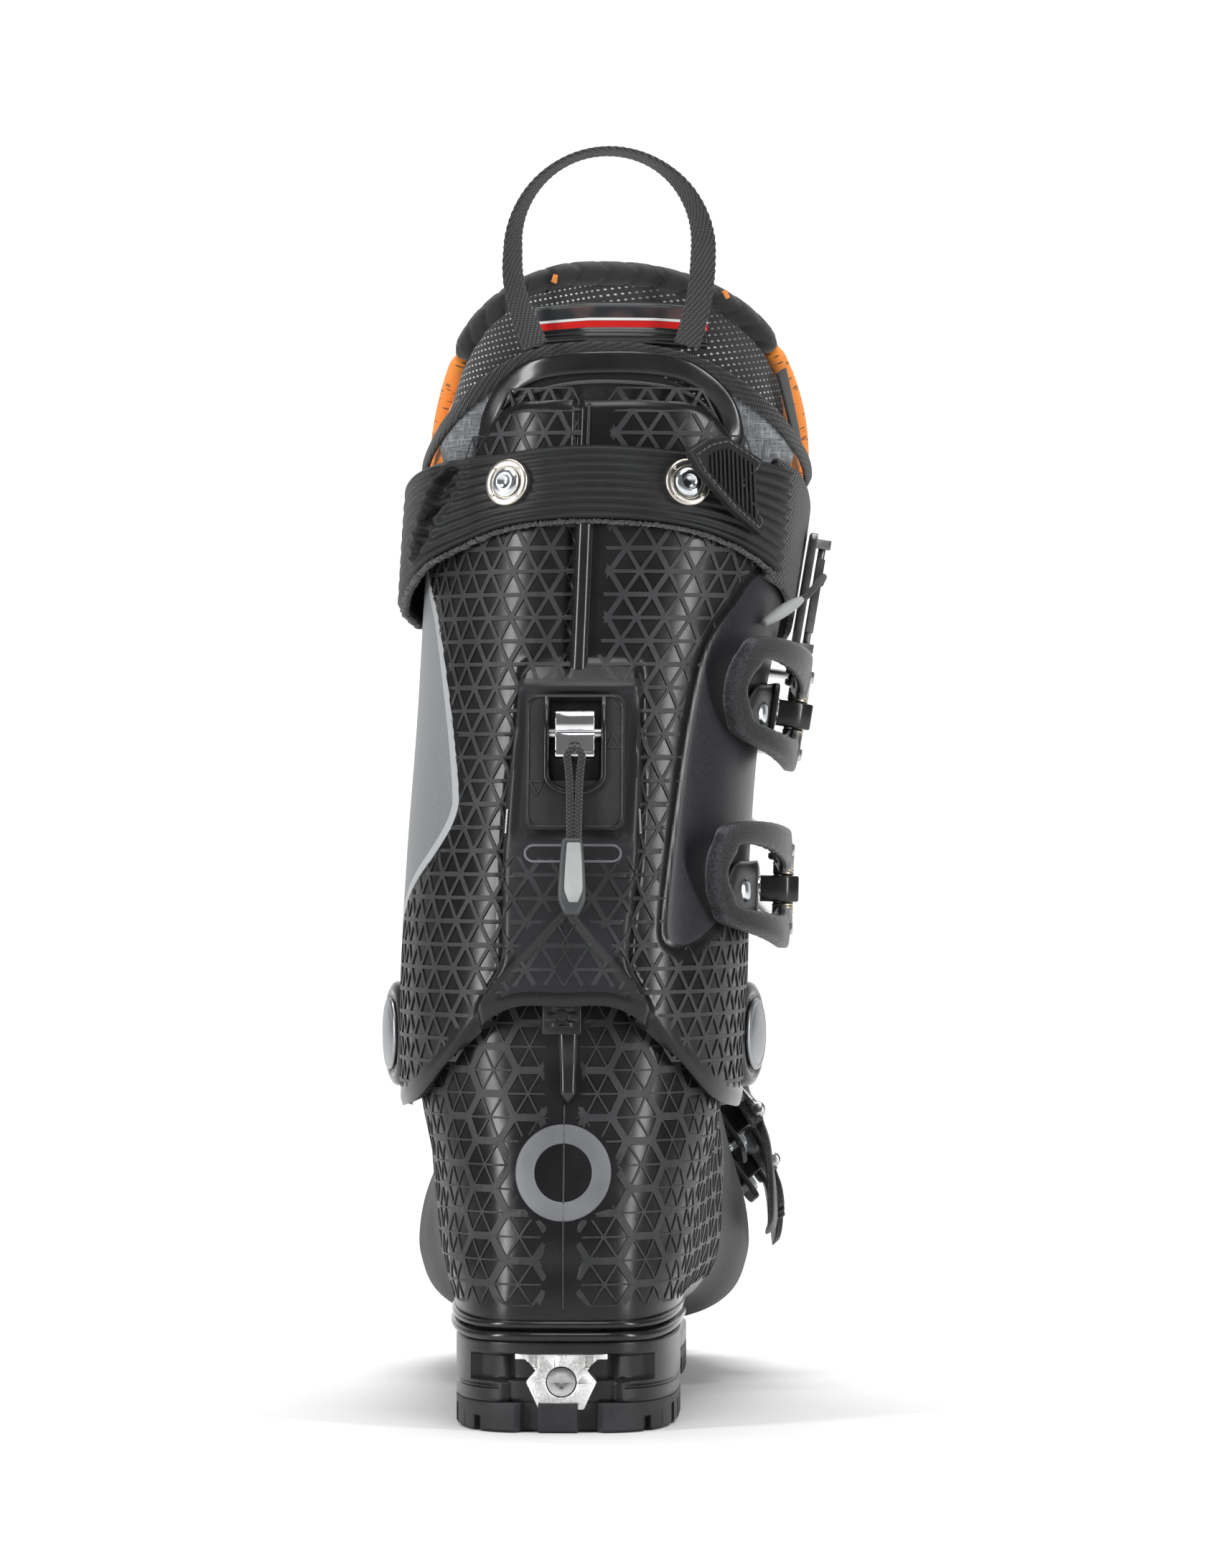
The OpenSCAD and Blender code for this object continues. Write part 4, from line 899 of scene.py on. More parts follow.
def cuff_relief(a, z):
    """How far the cuff's surface stands off the leg's: housing, spine groove, panel edges, sunk corners."""
    x = spine_gap(a, z)
    wide = 16.4 + 2.2 * smooth(228, 190, z) - 1.6 * smooth(185, 145, z) + 7 * smooth(146, 128, z)
    rise = HOUSING_RISE * (1 - smooth(wide - 0.6, wide + 3.6, np.abs(x))) * (1 - smooth(229, 240, z))
    rise = rise * smooth(100, 134, z)
    groove = -1.6 * np.exp(-((x + 4.3) / 1.1) ** 2) * smooth(230, 238, z)
    pocket = -8.0 * smooth(8.6, 7.9, np.abs(x)) * smooth(199.0, 200.4, z) * smooth(227.2, 226.2, z)
    frame_step = 0.7 * smooth(18.2, 17.4, np.abs(x)) * smooth(232.0, 230.8, z) * smooth(180.2, 181.4, z)
    opening = smooth(16.2, 15.8, np.abs(x)) * smooth(228.4, 228.0, z) * smooth(183.4, 183.9, z)
    frame_step = frame_step * (1 - opening)
    outline = -0.5 * np.exp(-((outer_at(a, z) - 1.3) / 1.1) ** 2)
    step_in = 0.45 * smooth(-0.5, 0.4, inner_at(a, z))
    housing = np.where(np.abs(a) < HOUSING_REACH, rise + groove + pocket + frame_step, 0)
    return housing + outline + step_in - 2.2 * wing(a, z)


def panel_distance(a, z, outline):
    """Distance to a panel's edge in millimetres, positive inside."""
    a, z = np.broadcast_arrays(np.asarray(a, float), np.asarray(z, float))
    return signed_distance(np.stack([arc_of(a).ravel(), z.ravel()], 1), outline).reshape(a.shape)


def inner_at(a, z):
    return panel_distance(a, z, INNER_PANEL)


def outer_at(a, z):
    return panel_distance(a, z, OUTER_PANEL)


def cuff_point(a, z, o=0.0):
    """Point of the cuff's outer surface; near its lower edge the surface rolls inwards."""
    low = edge(CUFF_LOW, a)
    roll = -0.7 * smooth(3.0, 0, z - low) ** 2
    top_roll = -1.2 * smooth(3.0, 0, edge(CUFF_TOP, a) - z) ** 2
    return leg(a, z, np.asarray(o) + cuff_shift(a) + cuff_relief(a, z) + roll + top_roll)


def cuff_mask(s, z):
    """1 where the cuff's bands stand."""
    a = dir_of(s)
    x = spine_gap(a, z)
    m = smooth(-0.8, -2.2, inner_at(a, z)) * smooth(-0.8, -2.2, outer_at(a, z))
    m = m * smooth(5.5, 7.5, z - edge(CUFF_LOW, a)) * smooth(2, 4, edge(CUFF_TOP, a) - z)
    m = m * np.where(np.abs(s) < 45, 1 - smooth(1.2, 2.0, 4.5 - np.abs(ridge_height(a) - z + 0.5)), 1)
    on_plate = smooth(19.5, 18.5, np.abs(x)) * smooth(176, 179, z) * smooth(234, 231, z)
    m = m * (1 - on_plate) * smooth(4.6, 6.2, np.abs(x - 1)) ** np.where(z > 228, 1, 0)
    m = m * (1 - 0.35 * smooth(16, 10, np.abs(x)))
    return m * smooth(150, 140, np.abs(a))


def build_cuff():
    """Cuff shell, with the distances that its panels are painted by, and its relief of bands."""
    fine = np.arange(-9, 9.01, 0.5)
    near = np.arange(10, 46, 1.0)
    far_out = np.arange(47.5, 160.1, 2.5)
    far_in = np.append(np.arange(47.5, 200, 2.5), 200)
    dirs = np.concatenate([-far_in[::-1], -near[::-1], fine, near, far_out])
    rows = 150
    low, top = edge(CUFF_LOW, dirs), edge(CUFF_TOP, dirs)
    u = np.linspace(0, 1, rows + 1)[:, None]
    z = low[None] + (top - low)[None] * u
    a = np.broadcast_to(dirs[None], z.shape)
    obj = grid("cuff_shell", cuff_point(a, z), [M["skin"]])
    add_attribute(obj.data, "inner_panel", inner_at(a, z).ravel())
    add_attribute(obj.data, "outer_panel", outer_at(a, z).ravel())
    rim = np.maximum(smooth(4.6, 3.8, z - low[None]), smooth(2.6, 1.8, np.abs(ridge_height(a) - z + 0.4))
                     * smooth(36, 33, np.abs(a)) * smooth(13, 15, np.abs(a)))
    add_attribute(obj.data, "rim", rim.ravel())
    x = spine_gap(a, z)
    matte = smooth(19, 17, np.abs(x)) * smooth(120, 134, z) * smooth(234, 231, z)
    matte = matte * (np.abs(a) < HOUSING_REACH)
    add_attribute(obj.data, "matte", matte.ravel())
    thicken(obj, CUFF_WALL, 0.7)
    piece(obj, "cuff", "cuff")
    net = band_net("cuff_relief", lambda s, z, o: cuff_point(dir_of(s), z, o), cuff_mask,
                   (165, 98, 322), 1.55, 1.15, (2.6, 98.8))
    piece(net, "cuff")


def build_spine_rib():
    """Half-round rib up the back of the cuff, above the housing."""
    z = np.linspace(230.5, 319, 80)
    path = leg(0, z, 0.1) + np.array([-0.6, 0, 0])
    scale = (0.72 + 0.28 * smooth(231, 236, z)) * (0.2 + 0.8 * smooth(293, 287, z))
    rib = sweep("spine_rib", path, circle_section(2.8, 20), [M["rim"]], normals=[0, -1, 0], scale=scale)
    piece(rib, "cuff")


# ---- lower shell ----
# horizontal sections of the heel: [height, back y, inner half width, outer half width, power]
HEEL_KEYS = [[30.5, -87.3, 34.9, 34.9, 3.2], [36, -87.6, 35.7, 35.9, 3.1], [44, -87.6, 36.6, 37.2, 2.9],
             [56, -86.6, 38.3, 39.2, 2.7], [70, -84.8, 40.6, 42, 2.5], [84, -82, 43.2, 45.2, 2.4],
             [98, -78.2, 46.2, 47.6, 2.3], [112, -75.6, 47.8, 48.2, 2.3], [126, -74.6, 48, 48, 2.3],
             [142, -71.4, 45.6, 45.6, 2.3], [158, -63, 42.2, 42.2, 2.3]]
HEEL_MID_Y = -22
HEEL_FORWARD = 30
SHELL_WALL = 4
COLLAR_T = 16
# middle of the plain disc at the heel, as (x, z)
DISC = (0.4, 79.7)


def heel_ring(row, a):
    """Level section of the heel at directions a, from a row of HEEL_KEYS."""
    z, back, inner, outer, power = row
    c, s = superellipse(a, power)
    x = s * np.where(s > 0, outer, inner)
    y = HEEL_MID_Y - c * np.where(c > 0, HEEL_MID_Y - back, HEEL_FORWARD)
    return np.stack([x, y, np.full(len(a), z)], -1)


def closed_rings(name, rings_list, mats=()):
    """Closed solid of rings with flat ends."""
    pts = np.asarray(rings_list, float)
    m, n = pts.shape[:2]
    faces = [list(f) for f in grid_faces(m, n, wrap_cols=True)]
    faces.append(list(range(n))[::-1])
    faces.append([(m - 1) * n + j for j in range(n)])
    return fix_normals(new_mesh(name, pts.reshape(-1, 3), faces, mats))


def shell_body():
    """Foot and heel as one smooth closed skin."""
    t = np.linspace(0, COLLAR_T, 90)
    ring_dirs = np.linspace(0, 360, 96, endpoint=False)
    foot_part = closed_rings("foot_part", [foot(v, ring_dirs) for v in t])
    rows = spline(HEEL_KEYS, np.linspace(0, len(HEEL_KEYS) - 1, 60))
    heel_part = closed_rings("heel_part", [heel_ring(r, ring_dirs) for r in rows])
    obj = join("shell_skin_source", [foot_part, heel_part])
    modifier(obj, "REMESH", mode="VOXEL", voxel_size=1.7 * MM, use_smooth_shade=True)
    modifier(obj, "SMOOTH", factor=0.5, iterations=6)
    return apply_modifiers(obj)


def mesh_points(obj):
    co = np.zeros(len(obj.data.vertices) * 3)
    obj.data.vertices.foreach_get("co", co)
    return co.reshape(-1, 3) / MM


def set_points(obj, points):
    obj.data.vertices.foreach_set("co", (np.asarray(points) * MM).ravel())
    obj.data.update()


def tree_of(obj):
    bm = bmesh.new()
    bm.from_mesh(obj.data)
    tree = BVHTree.FromBMesh(bm)
    bm.free()
    return tree


# the heel's pattern is rolled off a cylinder of this radius, and off flat sides in front of it
RAY_Y = HEEL_MID_Y - 12
HEEL_RADIUS = 46
QUARTER = HEEL_RADIUS * math.pi / 2


def shell_ray(s, z):
    """Start point and direction of the ray that carries pattern place (s, z) out to the shell."""
    side = 1 if s > 0 else -1
    reach = abs(s)
    if reach < QUARTER:
        t = reach / HEEL_RADIUS
        return Vector((0, RAY_Y, z)), Vector((side * math.sin(t), -math.cos(t), 0))
    return Vector((0, RAY_Y + reach - QUARTER, z)), Vector((side, 0, 0))


def on_shell(tree, s, z, o):
    """Points of the shell at pattern places, moved out by o."""
    points = np.zeros((len(s), 3))
    for i in range(len(s)):
        start, way = shell_ray(s[i], z[i])
        hit, normal, _, _ = tree.ray_cast(start * MM, way)
        if hit is None:
            points[i] = start
            continue
        if normal.dot(way) < 0:
            normal = -normal
        points[i] = np.array(hit) / MM + np.array(normal) * o[i]
    return points


def shell_mask(s, z):
    """1 where the lower shell's bands stand."""
    reach = np.abs(s)
    y = RAY_Y + reach - QUARTER
    m = smooth(38.0, 39.2, z) * smooth(4.2, 5.4, reach)
    m = m * smooth(15.8, 16.6, np.hypot(s - DISC[0], z - DISC[1]))
    m = m * (1 - smooth(4, 6, 12 - reach) * smooth(99, 101, z))
    front = 18 + 0.35 * (110 - z)
    return m * smooth(front, front - 4, np.where(reach < QUARTER, -100, y)) * smooth(152, 148, z)


def build_lower_shell():
    """Lower shell with its relief, opened at the collar."""
    skin = shell_body()
    skin.data.materials.append(M["shell"])
    tree = tree_of(skin)
    net = band_net("shell_relief", lambda s, z, o: on_shell(tree, s, z, o), shell_mask,
                   (150, 38, 154), 2.3, 0.6, (-1.2, 38.2), 0.34)
    piece(net, "lower_shell")
    # open the collar: the skin above the collar's plane goes
    low_edge, high_edge = np.array(FOOT_KEYS[-1][2:4]), np.array(FOOT_KEYS[-1][0:2])
    slope = (high_edge - low_edge) / np.linalg.norm(high_edge - low_edge)
    normal = Vector((0, -slope[1], slope[0]))
    cut_at = Vector((0, low_edge[0], low_edge[1])) - normal * 1.6
    edit(skin, lambda bm: bmesh.ops.bisect_plane(bm, geom=bm.verts[:] + bm.edges[:] + bm.faces[:],
                                                 plane_co=cut_at * MM, plane_no=normal, clear_outer=True))
    points = mesh_points(skin)
    for name in ("inner_panel", "outer_panel"):
        add_attribute(skin.data, name, np.full(len(points), -9.0))
    rim = smooth(36.6, 35.8, points[:, 2]) * smooth(30, 10, points[:, 1])
    add_attribute(skin.data, "rim", rim)
    add_attribute(skin.data, "matte", smooth(20, 40, points[:, 1]) * 0.9)
    thicken(skin, SHELL_WALL - 0.6)
    skin.name = "lower_shell_skin"
    piece(skin, "lower_shell", "lower_shell")
    return tree


# ---- liner ----
BINDING = [336, 335, 330, 318, 306, 297, 292]
LINER_CLEAR = 85


def liner_at(a, z, o):
    """Point of the liner, which swells above the cuff's top edge."""
    a, z = np.broadcast_arrays(np.asarray(a, float), np.asarray(z, float))
    free = smooth(1, 22, z - edge(CUFF_TOP, a)) * smooth(140, 110, np.abs(a))
    return leg(a, z, o + free * (1.5 + 5.5 * smooth(15, 60, np.abs(a))))


def liner_frame(a, z, o):
    return frame_on(liner_at, a, z, o, 2)


def liner_low(a):
    """Lower edge of the liner's leg part, clear of the lower shell while the cuff turns."""
    y = leg(a, 172, LINER_OUT - LEG_FOAM)[..., 1]
    return PIVOT_Z + np.sqrt(LINER_CLEAR ** 2 - y * y)


def wrap_of(points, o=-9.0):
    """Direction, height and outward share of points near the leg's surface."""
    z = points[:, 2]
    k = spline(LEG_KEYS, (z - LEG_LOW) / LEG_STEP)
    mid_y = leg_mid_y(z)
    side = points[:, 0] - k[:, 4]
    sx = side / (np.where(side > 0, k[:, 3], k[:, 2]) + o)
    back = mid_y - points[:, 1]
    cy = back / (np.where(back > 0, mid_y - k[:, 0], k[:, 1] - mid_y) + o)
    a = np.degrees(np.arctan2(sx, cy))
    reach = (np.abs(sx) ** k[:, 5] + np.abs(cy) ** k[:, 5]) ** (1 / k[:, 5])
    return a, z, reach


def pad_shell(name, dirs, top_of, out, inside):
    """Closed slab of foam that follows the leg, before it is puffed up."""
    turn = np.linspace(0, 360, 56, endpoint=False)
    c, s = superellipse(turn, 9)
    rings_list = []
    for a in dirs:
        low, top = float(liner_low(a)) + 1.0, top_of(a)
        z = (low + top) / 2 + s * (top - low) / 2
        o = (out + inside) / 2 + c * (out - inside) / 2
        rings_list.append(liner_at(a, z, o))
    return closed_rings(name, rings_list)


PUFF_FRAMES = 20
PAD_VOXEL = 4.5
PAD_PRESSURE = 4.0


def puff(obj, limit):
    """Remeshes a padded piece and blows it up as cloth, with its movement kept under limit(points)."""
    modifier(obj, "REMESH", mode="VOXEL", voxel_size=PAD_VOXEL * MM, use_smooth_shade=True)
    apply_modifiers(obj)
    before = mesh_points(obj)
    scene = bpy.context.scene
    cloth = modifier(obj, "CLOTH")
    settings = cloth.settings
    settings.use_pressure = True
    settings.uniform_pressure_force = PAD_PRESSURE
    settings.quality = 4
    settings.effector_weights.gravity = 0
    settings.tension_stiffness = 8
    settings.compression_stiffness = 8
    settings.bending_stiffness = 0.4
    cloth.point_cache.frame_start = 1
    cloth.point_cache.frame_end = PUFF_FRAMES
    for step in range(1, PUFF_FRAMES + 1):
        scene.frame_set(step)
    apply_modifiers(obj)
    scene.frame_set(1)
    after = mesh_points(obj)
    move = after - before
    length = np.linalg.norm(move, axis=1, keepdims=True)
    cap = limit(before)[:, None]
    set_points(obj, before + move * np.minimum(1, cap / np.maximum(length, 1e-6)))
    modifier(obj, "SUBSURF", levels=1, render_levels=1)
    return apply_modifiers(obj)


def set_material(obj, mat):
    obj.data.materials.clear()
    obj.data.materials.append(mat)
    obj.data.polygons.foreach_set("material_index", [0] * len(obj.data.polygons))


def dress_liner(obj):
    """Attributes that the liner cloth reads: place round the leg, lining side and orange zone."""
    set_material(obj, M["mesh"])
    points = mesh_points(obj)
    a, z, reach = wrap_of(points)
    lining = smooth(1.02, 0.98, reach)
    add_attribute(obj.data, "wrap", np.stack([arc_of(a), z, lining], 1))
    add_attribute(obj.data, "orange", smooth(62, 66, np.abs(a)) * (1 - lining))


def liner_top(a):
    return float(edge(LINER_TOP, a))


def build_liner():
    """Collar and tongue as puffed pads, the roll along the top edge and the foot part."""
    collar = pad_shell("liner_collar", np.arange(-137, 137.1, 3), lambda a: liner_top(a) - 4.0, -6.0, -12.6)
    puff(collar, lambda p: 1.0 + 0.8 * smooth(300, 330, p[:, 2]))
    dress_liner(collar)
    piece(collar, "cuff", "liner_cuff")
    tongue = pad_shell("liner_tongue_pad", np.arange(145, 215.1, 3), lambda a: 333.0, -6.0, -12.4)
    puff(tongue, lambda p: np.full(len(p), 0.9))
    dress_liner(tongue)
    piece(tongue, "cuff", "liner_tongue")
    build_rolls()
    build_sock()


ROLL_R = 4.0


def build_rolls():
    """Padded roll along the collar's top edge, with slanting stitched dents."""
    parts = (("collar_roll", -60, 58, M["roll"], 1.0), ("side_roll_in", -137, -61, M["mesh"], 0.82),
             ("side_roll_out", 59, 137, M["mesh"], 0.82))
    for name, a0, a1, mat, size in parts:
        a = np.arange(a0, a1 + 0.01, 0.9)
        z = edge(LINER_TOP, a) - ROLL_R * size
        path = liner_at(a, z, -8.4)
        out = liner_frame(a, z, -8.4)[3]
        run = run_of(path)
        section = circle_section(ROLL_R * size, 28, 1.12)
        ends = np.minimum(smooth(-0.5, 4, run), smooth(-0.5, 4, run[-1] - run))
        obj = sweep(name, path, section, [mat], normals=out, scale=0.72 + 0.28 * ends)
        points = mesh_points(obj)
        ring = np.arange(len(points)) // len(section)
        turn = np.arange(len(points)) % len(section) / len(section)
        slant = np.mod(run[ring] + np.abs(turn - 0.25) * 22, 8.5) - 4.25
        dent = 0.75 * np.exp(-(slant / 0.55) ** 2) if mat is M["roll"] else 0 * slant
        set_points(obj, points + (path[ring] - points) / (ROLL_R * size) * dent[:, None])
        if mat is M["mesh"]:
            add_attribute(obj.data, "orange", np.ones(len(points)))
            obj.data.attributes.remove(obj.data.attributes["wrap"])
            add_attribute(obj.data, "wrap", np.stack([run[ring], points[:, 2], 0 * slant], 1))
        piece(obj, "cuff")


def build_sock():
    """Foot part of the liner with its soft ankle."""
    dirs = np.linspace(0, 360, 72, endpoint=False)
    e = SHELL_WALL + 1.3
    t = np.concatenate([np.linspace(0.75, 1.6, 6), np.linspace(2.0, 15.0, 60)])
    outer = [foot(v, dirs, e, e + 8) for v in t]
    last = outer[-1]
    a = wrap_of(np.c_[last[:, :2], np.full(len(last), 172.0)], -8)[0]
    inner = [foot(v, dirs, e + 6, e + 14) for v in t[4:]]
    for rings, top in ((outer, leg(a, 212, -14.5)), (inner, leg(a, 212, -16.5))):
        last = rings[-1]
        rings += [last * (1 - u) + top * u for u in (0.35, 0.7, 1.0)]
    obj = closed_rings("liner_sock", outer + inner[::-1], [M["lining"]])
    modifier(obj, "SUBSURF", levels=1, render_levels=1)
    apply_modifiers(obj)
    points = mesh_points(obj)
    x, y, z = points.T
    add_attribute(obj.data, "wrap", np.stack([y + x, z, 0 * x], 1))
    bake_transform(obj)
    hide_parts("liner_foot")


def leg_strip(name, keys, section, mats, o, n=120):
    """Band swept along (direction, height) keys on the liner."""
    k = spline(np.asarray(keys, float), np.linspace(0, len(keys) - 1, n))
    place = liner_frame(k[:, 0], k[:, 1], o)
    return sweep(name, place[0], section, mats, normals=place[3])


def build_trim():
    """Binding tape, gloss frame, cloth patch and reflector strip at the back of the collar."""
    a = np.linspace(-84, 84, 200)
    z = edge(BINDING, a)
    tape = sweep("binding_tape", liner_at(a, z, -3.6), slab_section(5.2, 1.9, 28, 3), [M["binding"]],
                 normals=liner_frame(a, z, -3.6)[3])
    piece(tape, "cuff", "liner_binding")
    keys = [(-45, 288), (-43.5, 302), (-39.5, 316), (-31, 326), (-19, 330.5), (0, 332), (18, 331.6),
            (30, 328), (39.5, 319), (44.5, 305), (46, 288)]
    frame_bar = leg_strip("gloss_frame", keys, slab_section(7.0, 2.2, 28, 4), [M["rim"]], -3.1, 160)
    piece(frame_bar, "cuff", "spoiler_frame")
    stitch_keys = [(-37, 303), (-33.5, 315), (-25, 322.4), (0, 326.0), (24, 324), (35, 316.5), (39, 302)]
    stitch = leg_strip("frame_stitch", stitch_keys, circle_section(0.55, 8), [M["thread"]], -3.0, 160)
    piece(stitch, "cuff")
    dirs = np.linspace(-62, 66, 60)
    u = np.linspace(0, 1, 24)[:, None]
    low = 282.0
    z = low + (edge(BINDING, dirs)[None] - 1.5 - low) * u
    patch = grid("cloth_patch", liner_at(dirs[None], z, -4.4 - 0.5 * (1 - u)), [M["hash"]])
    thicken(patch, 0.8)
    piece(patch, "cuff")
    dirs = np.linspace(-43, 44, 70)
    top = spline(np.array([300.0, 321, 328, 329.5, 329.5, 328, 321, 300]), np.linspace(0, 7, len(dirs)))
    z = 288 + (top - 288)[None] * np.linspace(0, 1, 20)[:, None]
    fill = grid("frame_fill", liner_at(dirs[None], z, -4.0), [M["binding"]])
    thicken(fill, 0.7)
    piece(fill, "cuff")
    dirs = np.linspace(-24, 33, 90)
    v = np.linspace(0, 14, 43)
    z = 337.4 + v[:, None] - 0.05 * np.maximum(0, np.abs(dirs[None] - 8) - 10)
    ribs = 0.45 * np.abs(np.sin(v * math.pi / 1.9)) * (v < 5.6)
    edge_in = 1.1 * np.minimum(smooth(0, 1.2, v), smooth(0, 1.0, 14 - v)) - 0.6
    bulge = ribs + edge_in + 0.35 * np.exp(-((v - 13.0) / 0.6) ** 2)
    points = liner_at(dirs[None], z, -4.1 + bulge[:, None])
    uv = np.stack(np.broadcast_arrays(arc_of(dirs)[None], v[:, None]), -1)
    strip = grid("reflector", points, [M["reflector"]], uv=uv)
    thicken(strip, 0.9)
    piece(strip, "cuff", "reflector_strip")
    label = leg_strip("side_label", [(58, 331), (62, 320), (67, 308)], slab_section(6.5, 1.0, 20, 5),
                      [M["label"]], -4.0, 40)
    piece(label, "cuff")


# the pull loop's half width, middle x and heights
LOOP_HALF, LOOP_MID, LOOP_LOW, LOOP_TOP = 31.5, 13.0, 352, 400


def build_loop():
    """Twisted pull loop of woven tape; its ends run down under the binding tape."""
    t = np.radians(np.linspace(0, 180, 300))
    x = LOOP_MID - (LOOP_HALF - 1.6) * np.cos(t)
    z = LOOP_LOW + 16 + (LOOP_TOP - 17.6 - LOOP_LOW) * np.sin(t)
    arch = np.stack([x, -47.5 + 0.05 * (z - 340), z], 1)
    down_in = np.array([(-16.9, -47.2, 360), (-15.5, -47.6, 352), (-12.6, -48.6, 344), (-9.8, -50.2, 337)])
    down_out = np.array([(42.6, -47.2, 360), (41.6, -47.4, 352), (39.8, -48.0, 344), (37.8, -49.0, 337)])
    keys = np.concatenate([down_in[::-1], arch[::12], arch[-1:], down_out])
    path = spline(keys, np.linspace(0, len(keys) - 1, 460))
    share = np.linspace(0, 1, len(path))
    inward = unit(np.array([LOOP_MID, -47.5, LOOP_LOW + 14]) - path)
    facing = spline([0.95, 0.6, 0.3, 0.12, 0.12, 0.25, 0.6, 0.92, 0.98], share * 8)
    turn = np.arccos(np.clip(facing, -1, 1))
    out = np.cos(turn)[:, None] * np.array([0, -1.0, 0]) + np.sin(turn)[:, None] * inward
    run = run_of(path)
    scallop = 1 + 0.035 * np.sin(run * 2 * math.pi / 2.1)
    section = slab_section(8.4, 1.6, 30, 3)
    tape = sweep("pull_loop_tape", path, section, [M["tape"]], normals=out, scale=scallop)
    piece(tape, "cuff", "pull_loop")
    for name, keys in (("loop_stitch_in", [(-16.5, 360), (-17.5, 357.5)]),
                       ("loop_stitch_out", [(38.5, 355.5), (39.5, 353)])):
        dot = leg_strip(name, keys, circle_section(1.0, 10), [M["orange_thread"]], -4.6, 8)
        piece(dot, "cuff")


# ---- power strap ----
STRAP_Z = 294
STRAP_T = 3.2
SCREW_DIR = 25.5
STRAP_SLOTS = ((-50, 291.0), (-56, 279.5))
WEB_HALF = 19.0


def strap_height(a):
    """Middle height of the strap, which dips towards the front."""
    return STRAP_Z - 21 * (1 - np.cos(np.radians(a)))


def strap_half(a):
    """Half height of the strap's rubber, which widens round the sides."""
    return 11.8 + 7.5 * smooth(20, 85, np.abs(a))


def strap_off(a):
    """How far the strap stands off the leg: over the cuff's overlap, and round the slots on the inner side."""
    front = (OVERLAP + 0.4) * smooth(75, 140, a) * (1 - smooth(202, 250, a))
    return 0.6 + front + 4.2 * smooth(-38, -56, a) * smooth(-101, -84, a)


def build_strap():
    """Ribbed rubber strap with its slots, the worn threads under it, and what is fixed to it."""
    dirs = np.arange(-101, 62.01, 0.75)
    v = np.linspace(-1, 1, 61)
    a, w = np.meshgrid(dirs, v)
    z = strap_height(a) + w * strap_half(a)
    s = arc_of(a)
    ribs = np.cos(w * math.pi * 4.5) ** 2
    calm = 1.0 + 0 * a
    for side in (-1, 1):
        d = np.hypot(s - arc_of(side * SCREW_DIR), z - STRAP_Z)
        calm = calm * smooth(7.0, 13.0, d)
    waves = 0.95 * ribs * (0.3 + 0.7 * calm)
    edge_round = -1.8 * smooth(0.9, 1.0, np.abs(w)) ** 2
    slot_depth = 0 * a
    lips = 0 * a
    for c_dir, c_z in STRAP_SLOTS:
        du = (s - arc_of(c_dir)) * 0.62 + (z - c_z) * 0.78
        dv = -(s - arc_of(c_dir)) * 0.78 + (z - c_z) * 0.62
        r = np.hypot(du / 9.5, dv / 4.2)
        slot_depth = slot_depth + smooth(1.08, 0.92, r)
        lips = lips + np.exp(-((r - 1.25) / 0.2) ** 2)
    o = strap_off(a) + STRAP_T + waves + edge_round - 4.6 * slot_depth + 0.9 * lips
    obj = grid("strap_rubber", leg(a, z, o), [M["strap"]])
    thicken(obj, 2.6)
    piece(obj, "cuff", "strap_rear")
    fuzz_dirs = np.linspace(-98, 60, 700)
    low = strap_height(fuzz_dirs) - strap_half(fuzz_dirs) - 0.5
    jitter = rng.normal(0, 1, (2, len(fuzz_dirs)))
    path = leg(fuzz_dirs, low + 0.18 * jitter[0], strap_off(fuzz_dirs) + 1.6 + 0.15 * jitter[1])
    size = 0.8 + 0.35 * rng.random(len(fuzz_dirs))
    fuzz = sweep("strap_fuzz", path, circle_section(0.62, 8, 2.2), [M["thread"]],
                 normals=leg_frame(fuzz_dirs, low, 1.5)[3], scale=size)
    piece(fuzz, "cuff")
    build_screws()
    build_webbing()
    build_strap_tab()
    build_cam()


# turned profiles, as (radius, height) from the axis back to the axis
WASHER = [(0, -3), (7.2, -3), (7.5, 0.5), (7.3, 1.0), (6.9, 1.25), (5.9, 1.3), (5.3, 1.15), (4.9, 0.7),
          (4.7, 0.5), (0, 0.4)]
SCREW_DOME = [(0, 0), (4.5, 0.2), (4.6, 1.3), (4.3, 1.9), (3.4, 2.4), (2.5, 2.6), (2.2, 2.55), (2.05, 1.2),
              (0, 1.1)]
SCREW_DOT = [(0, 0.9), (0.75, 1.0), (0.6, 1.5), (0, 1.62)]
DOT_RADIUS = 6.1


def build_screws():
    """The strap's two screws: washer, dome with its socket, and four dots."""
    for name, side in (("strap_screw_in", -1), ("strap_screw_out", 1)):
        place = leg_frame(side * SCREW_DIR, STRAP_Z, STRAP_T + 1.6)
        washer = lathe(name + "_washer", WASHER, [M["nickel"]], 64, place)
        piece(washer, "cuff", "strap_screws" if side < 0 else None)
        dome = lathe(name + "_dome", SCREW_DOME, [M["dome"]], 48, place)
        piece(dome, "cuff")
        dots = []
        for k in range(4):
            t = math.radians(45 + 90 * k)
            spot = place_at(place, DOT_RADIUS * math.cos(t), DOT_RADIUS * math.sin(t), 0)
            dots.append(lathe("dot", SCREW_DOT, [M["nickel"]], 12, spot))
        group = join(name + "_dots", dots)
        piece(group, "cuff")


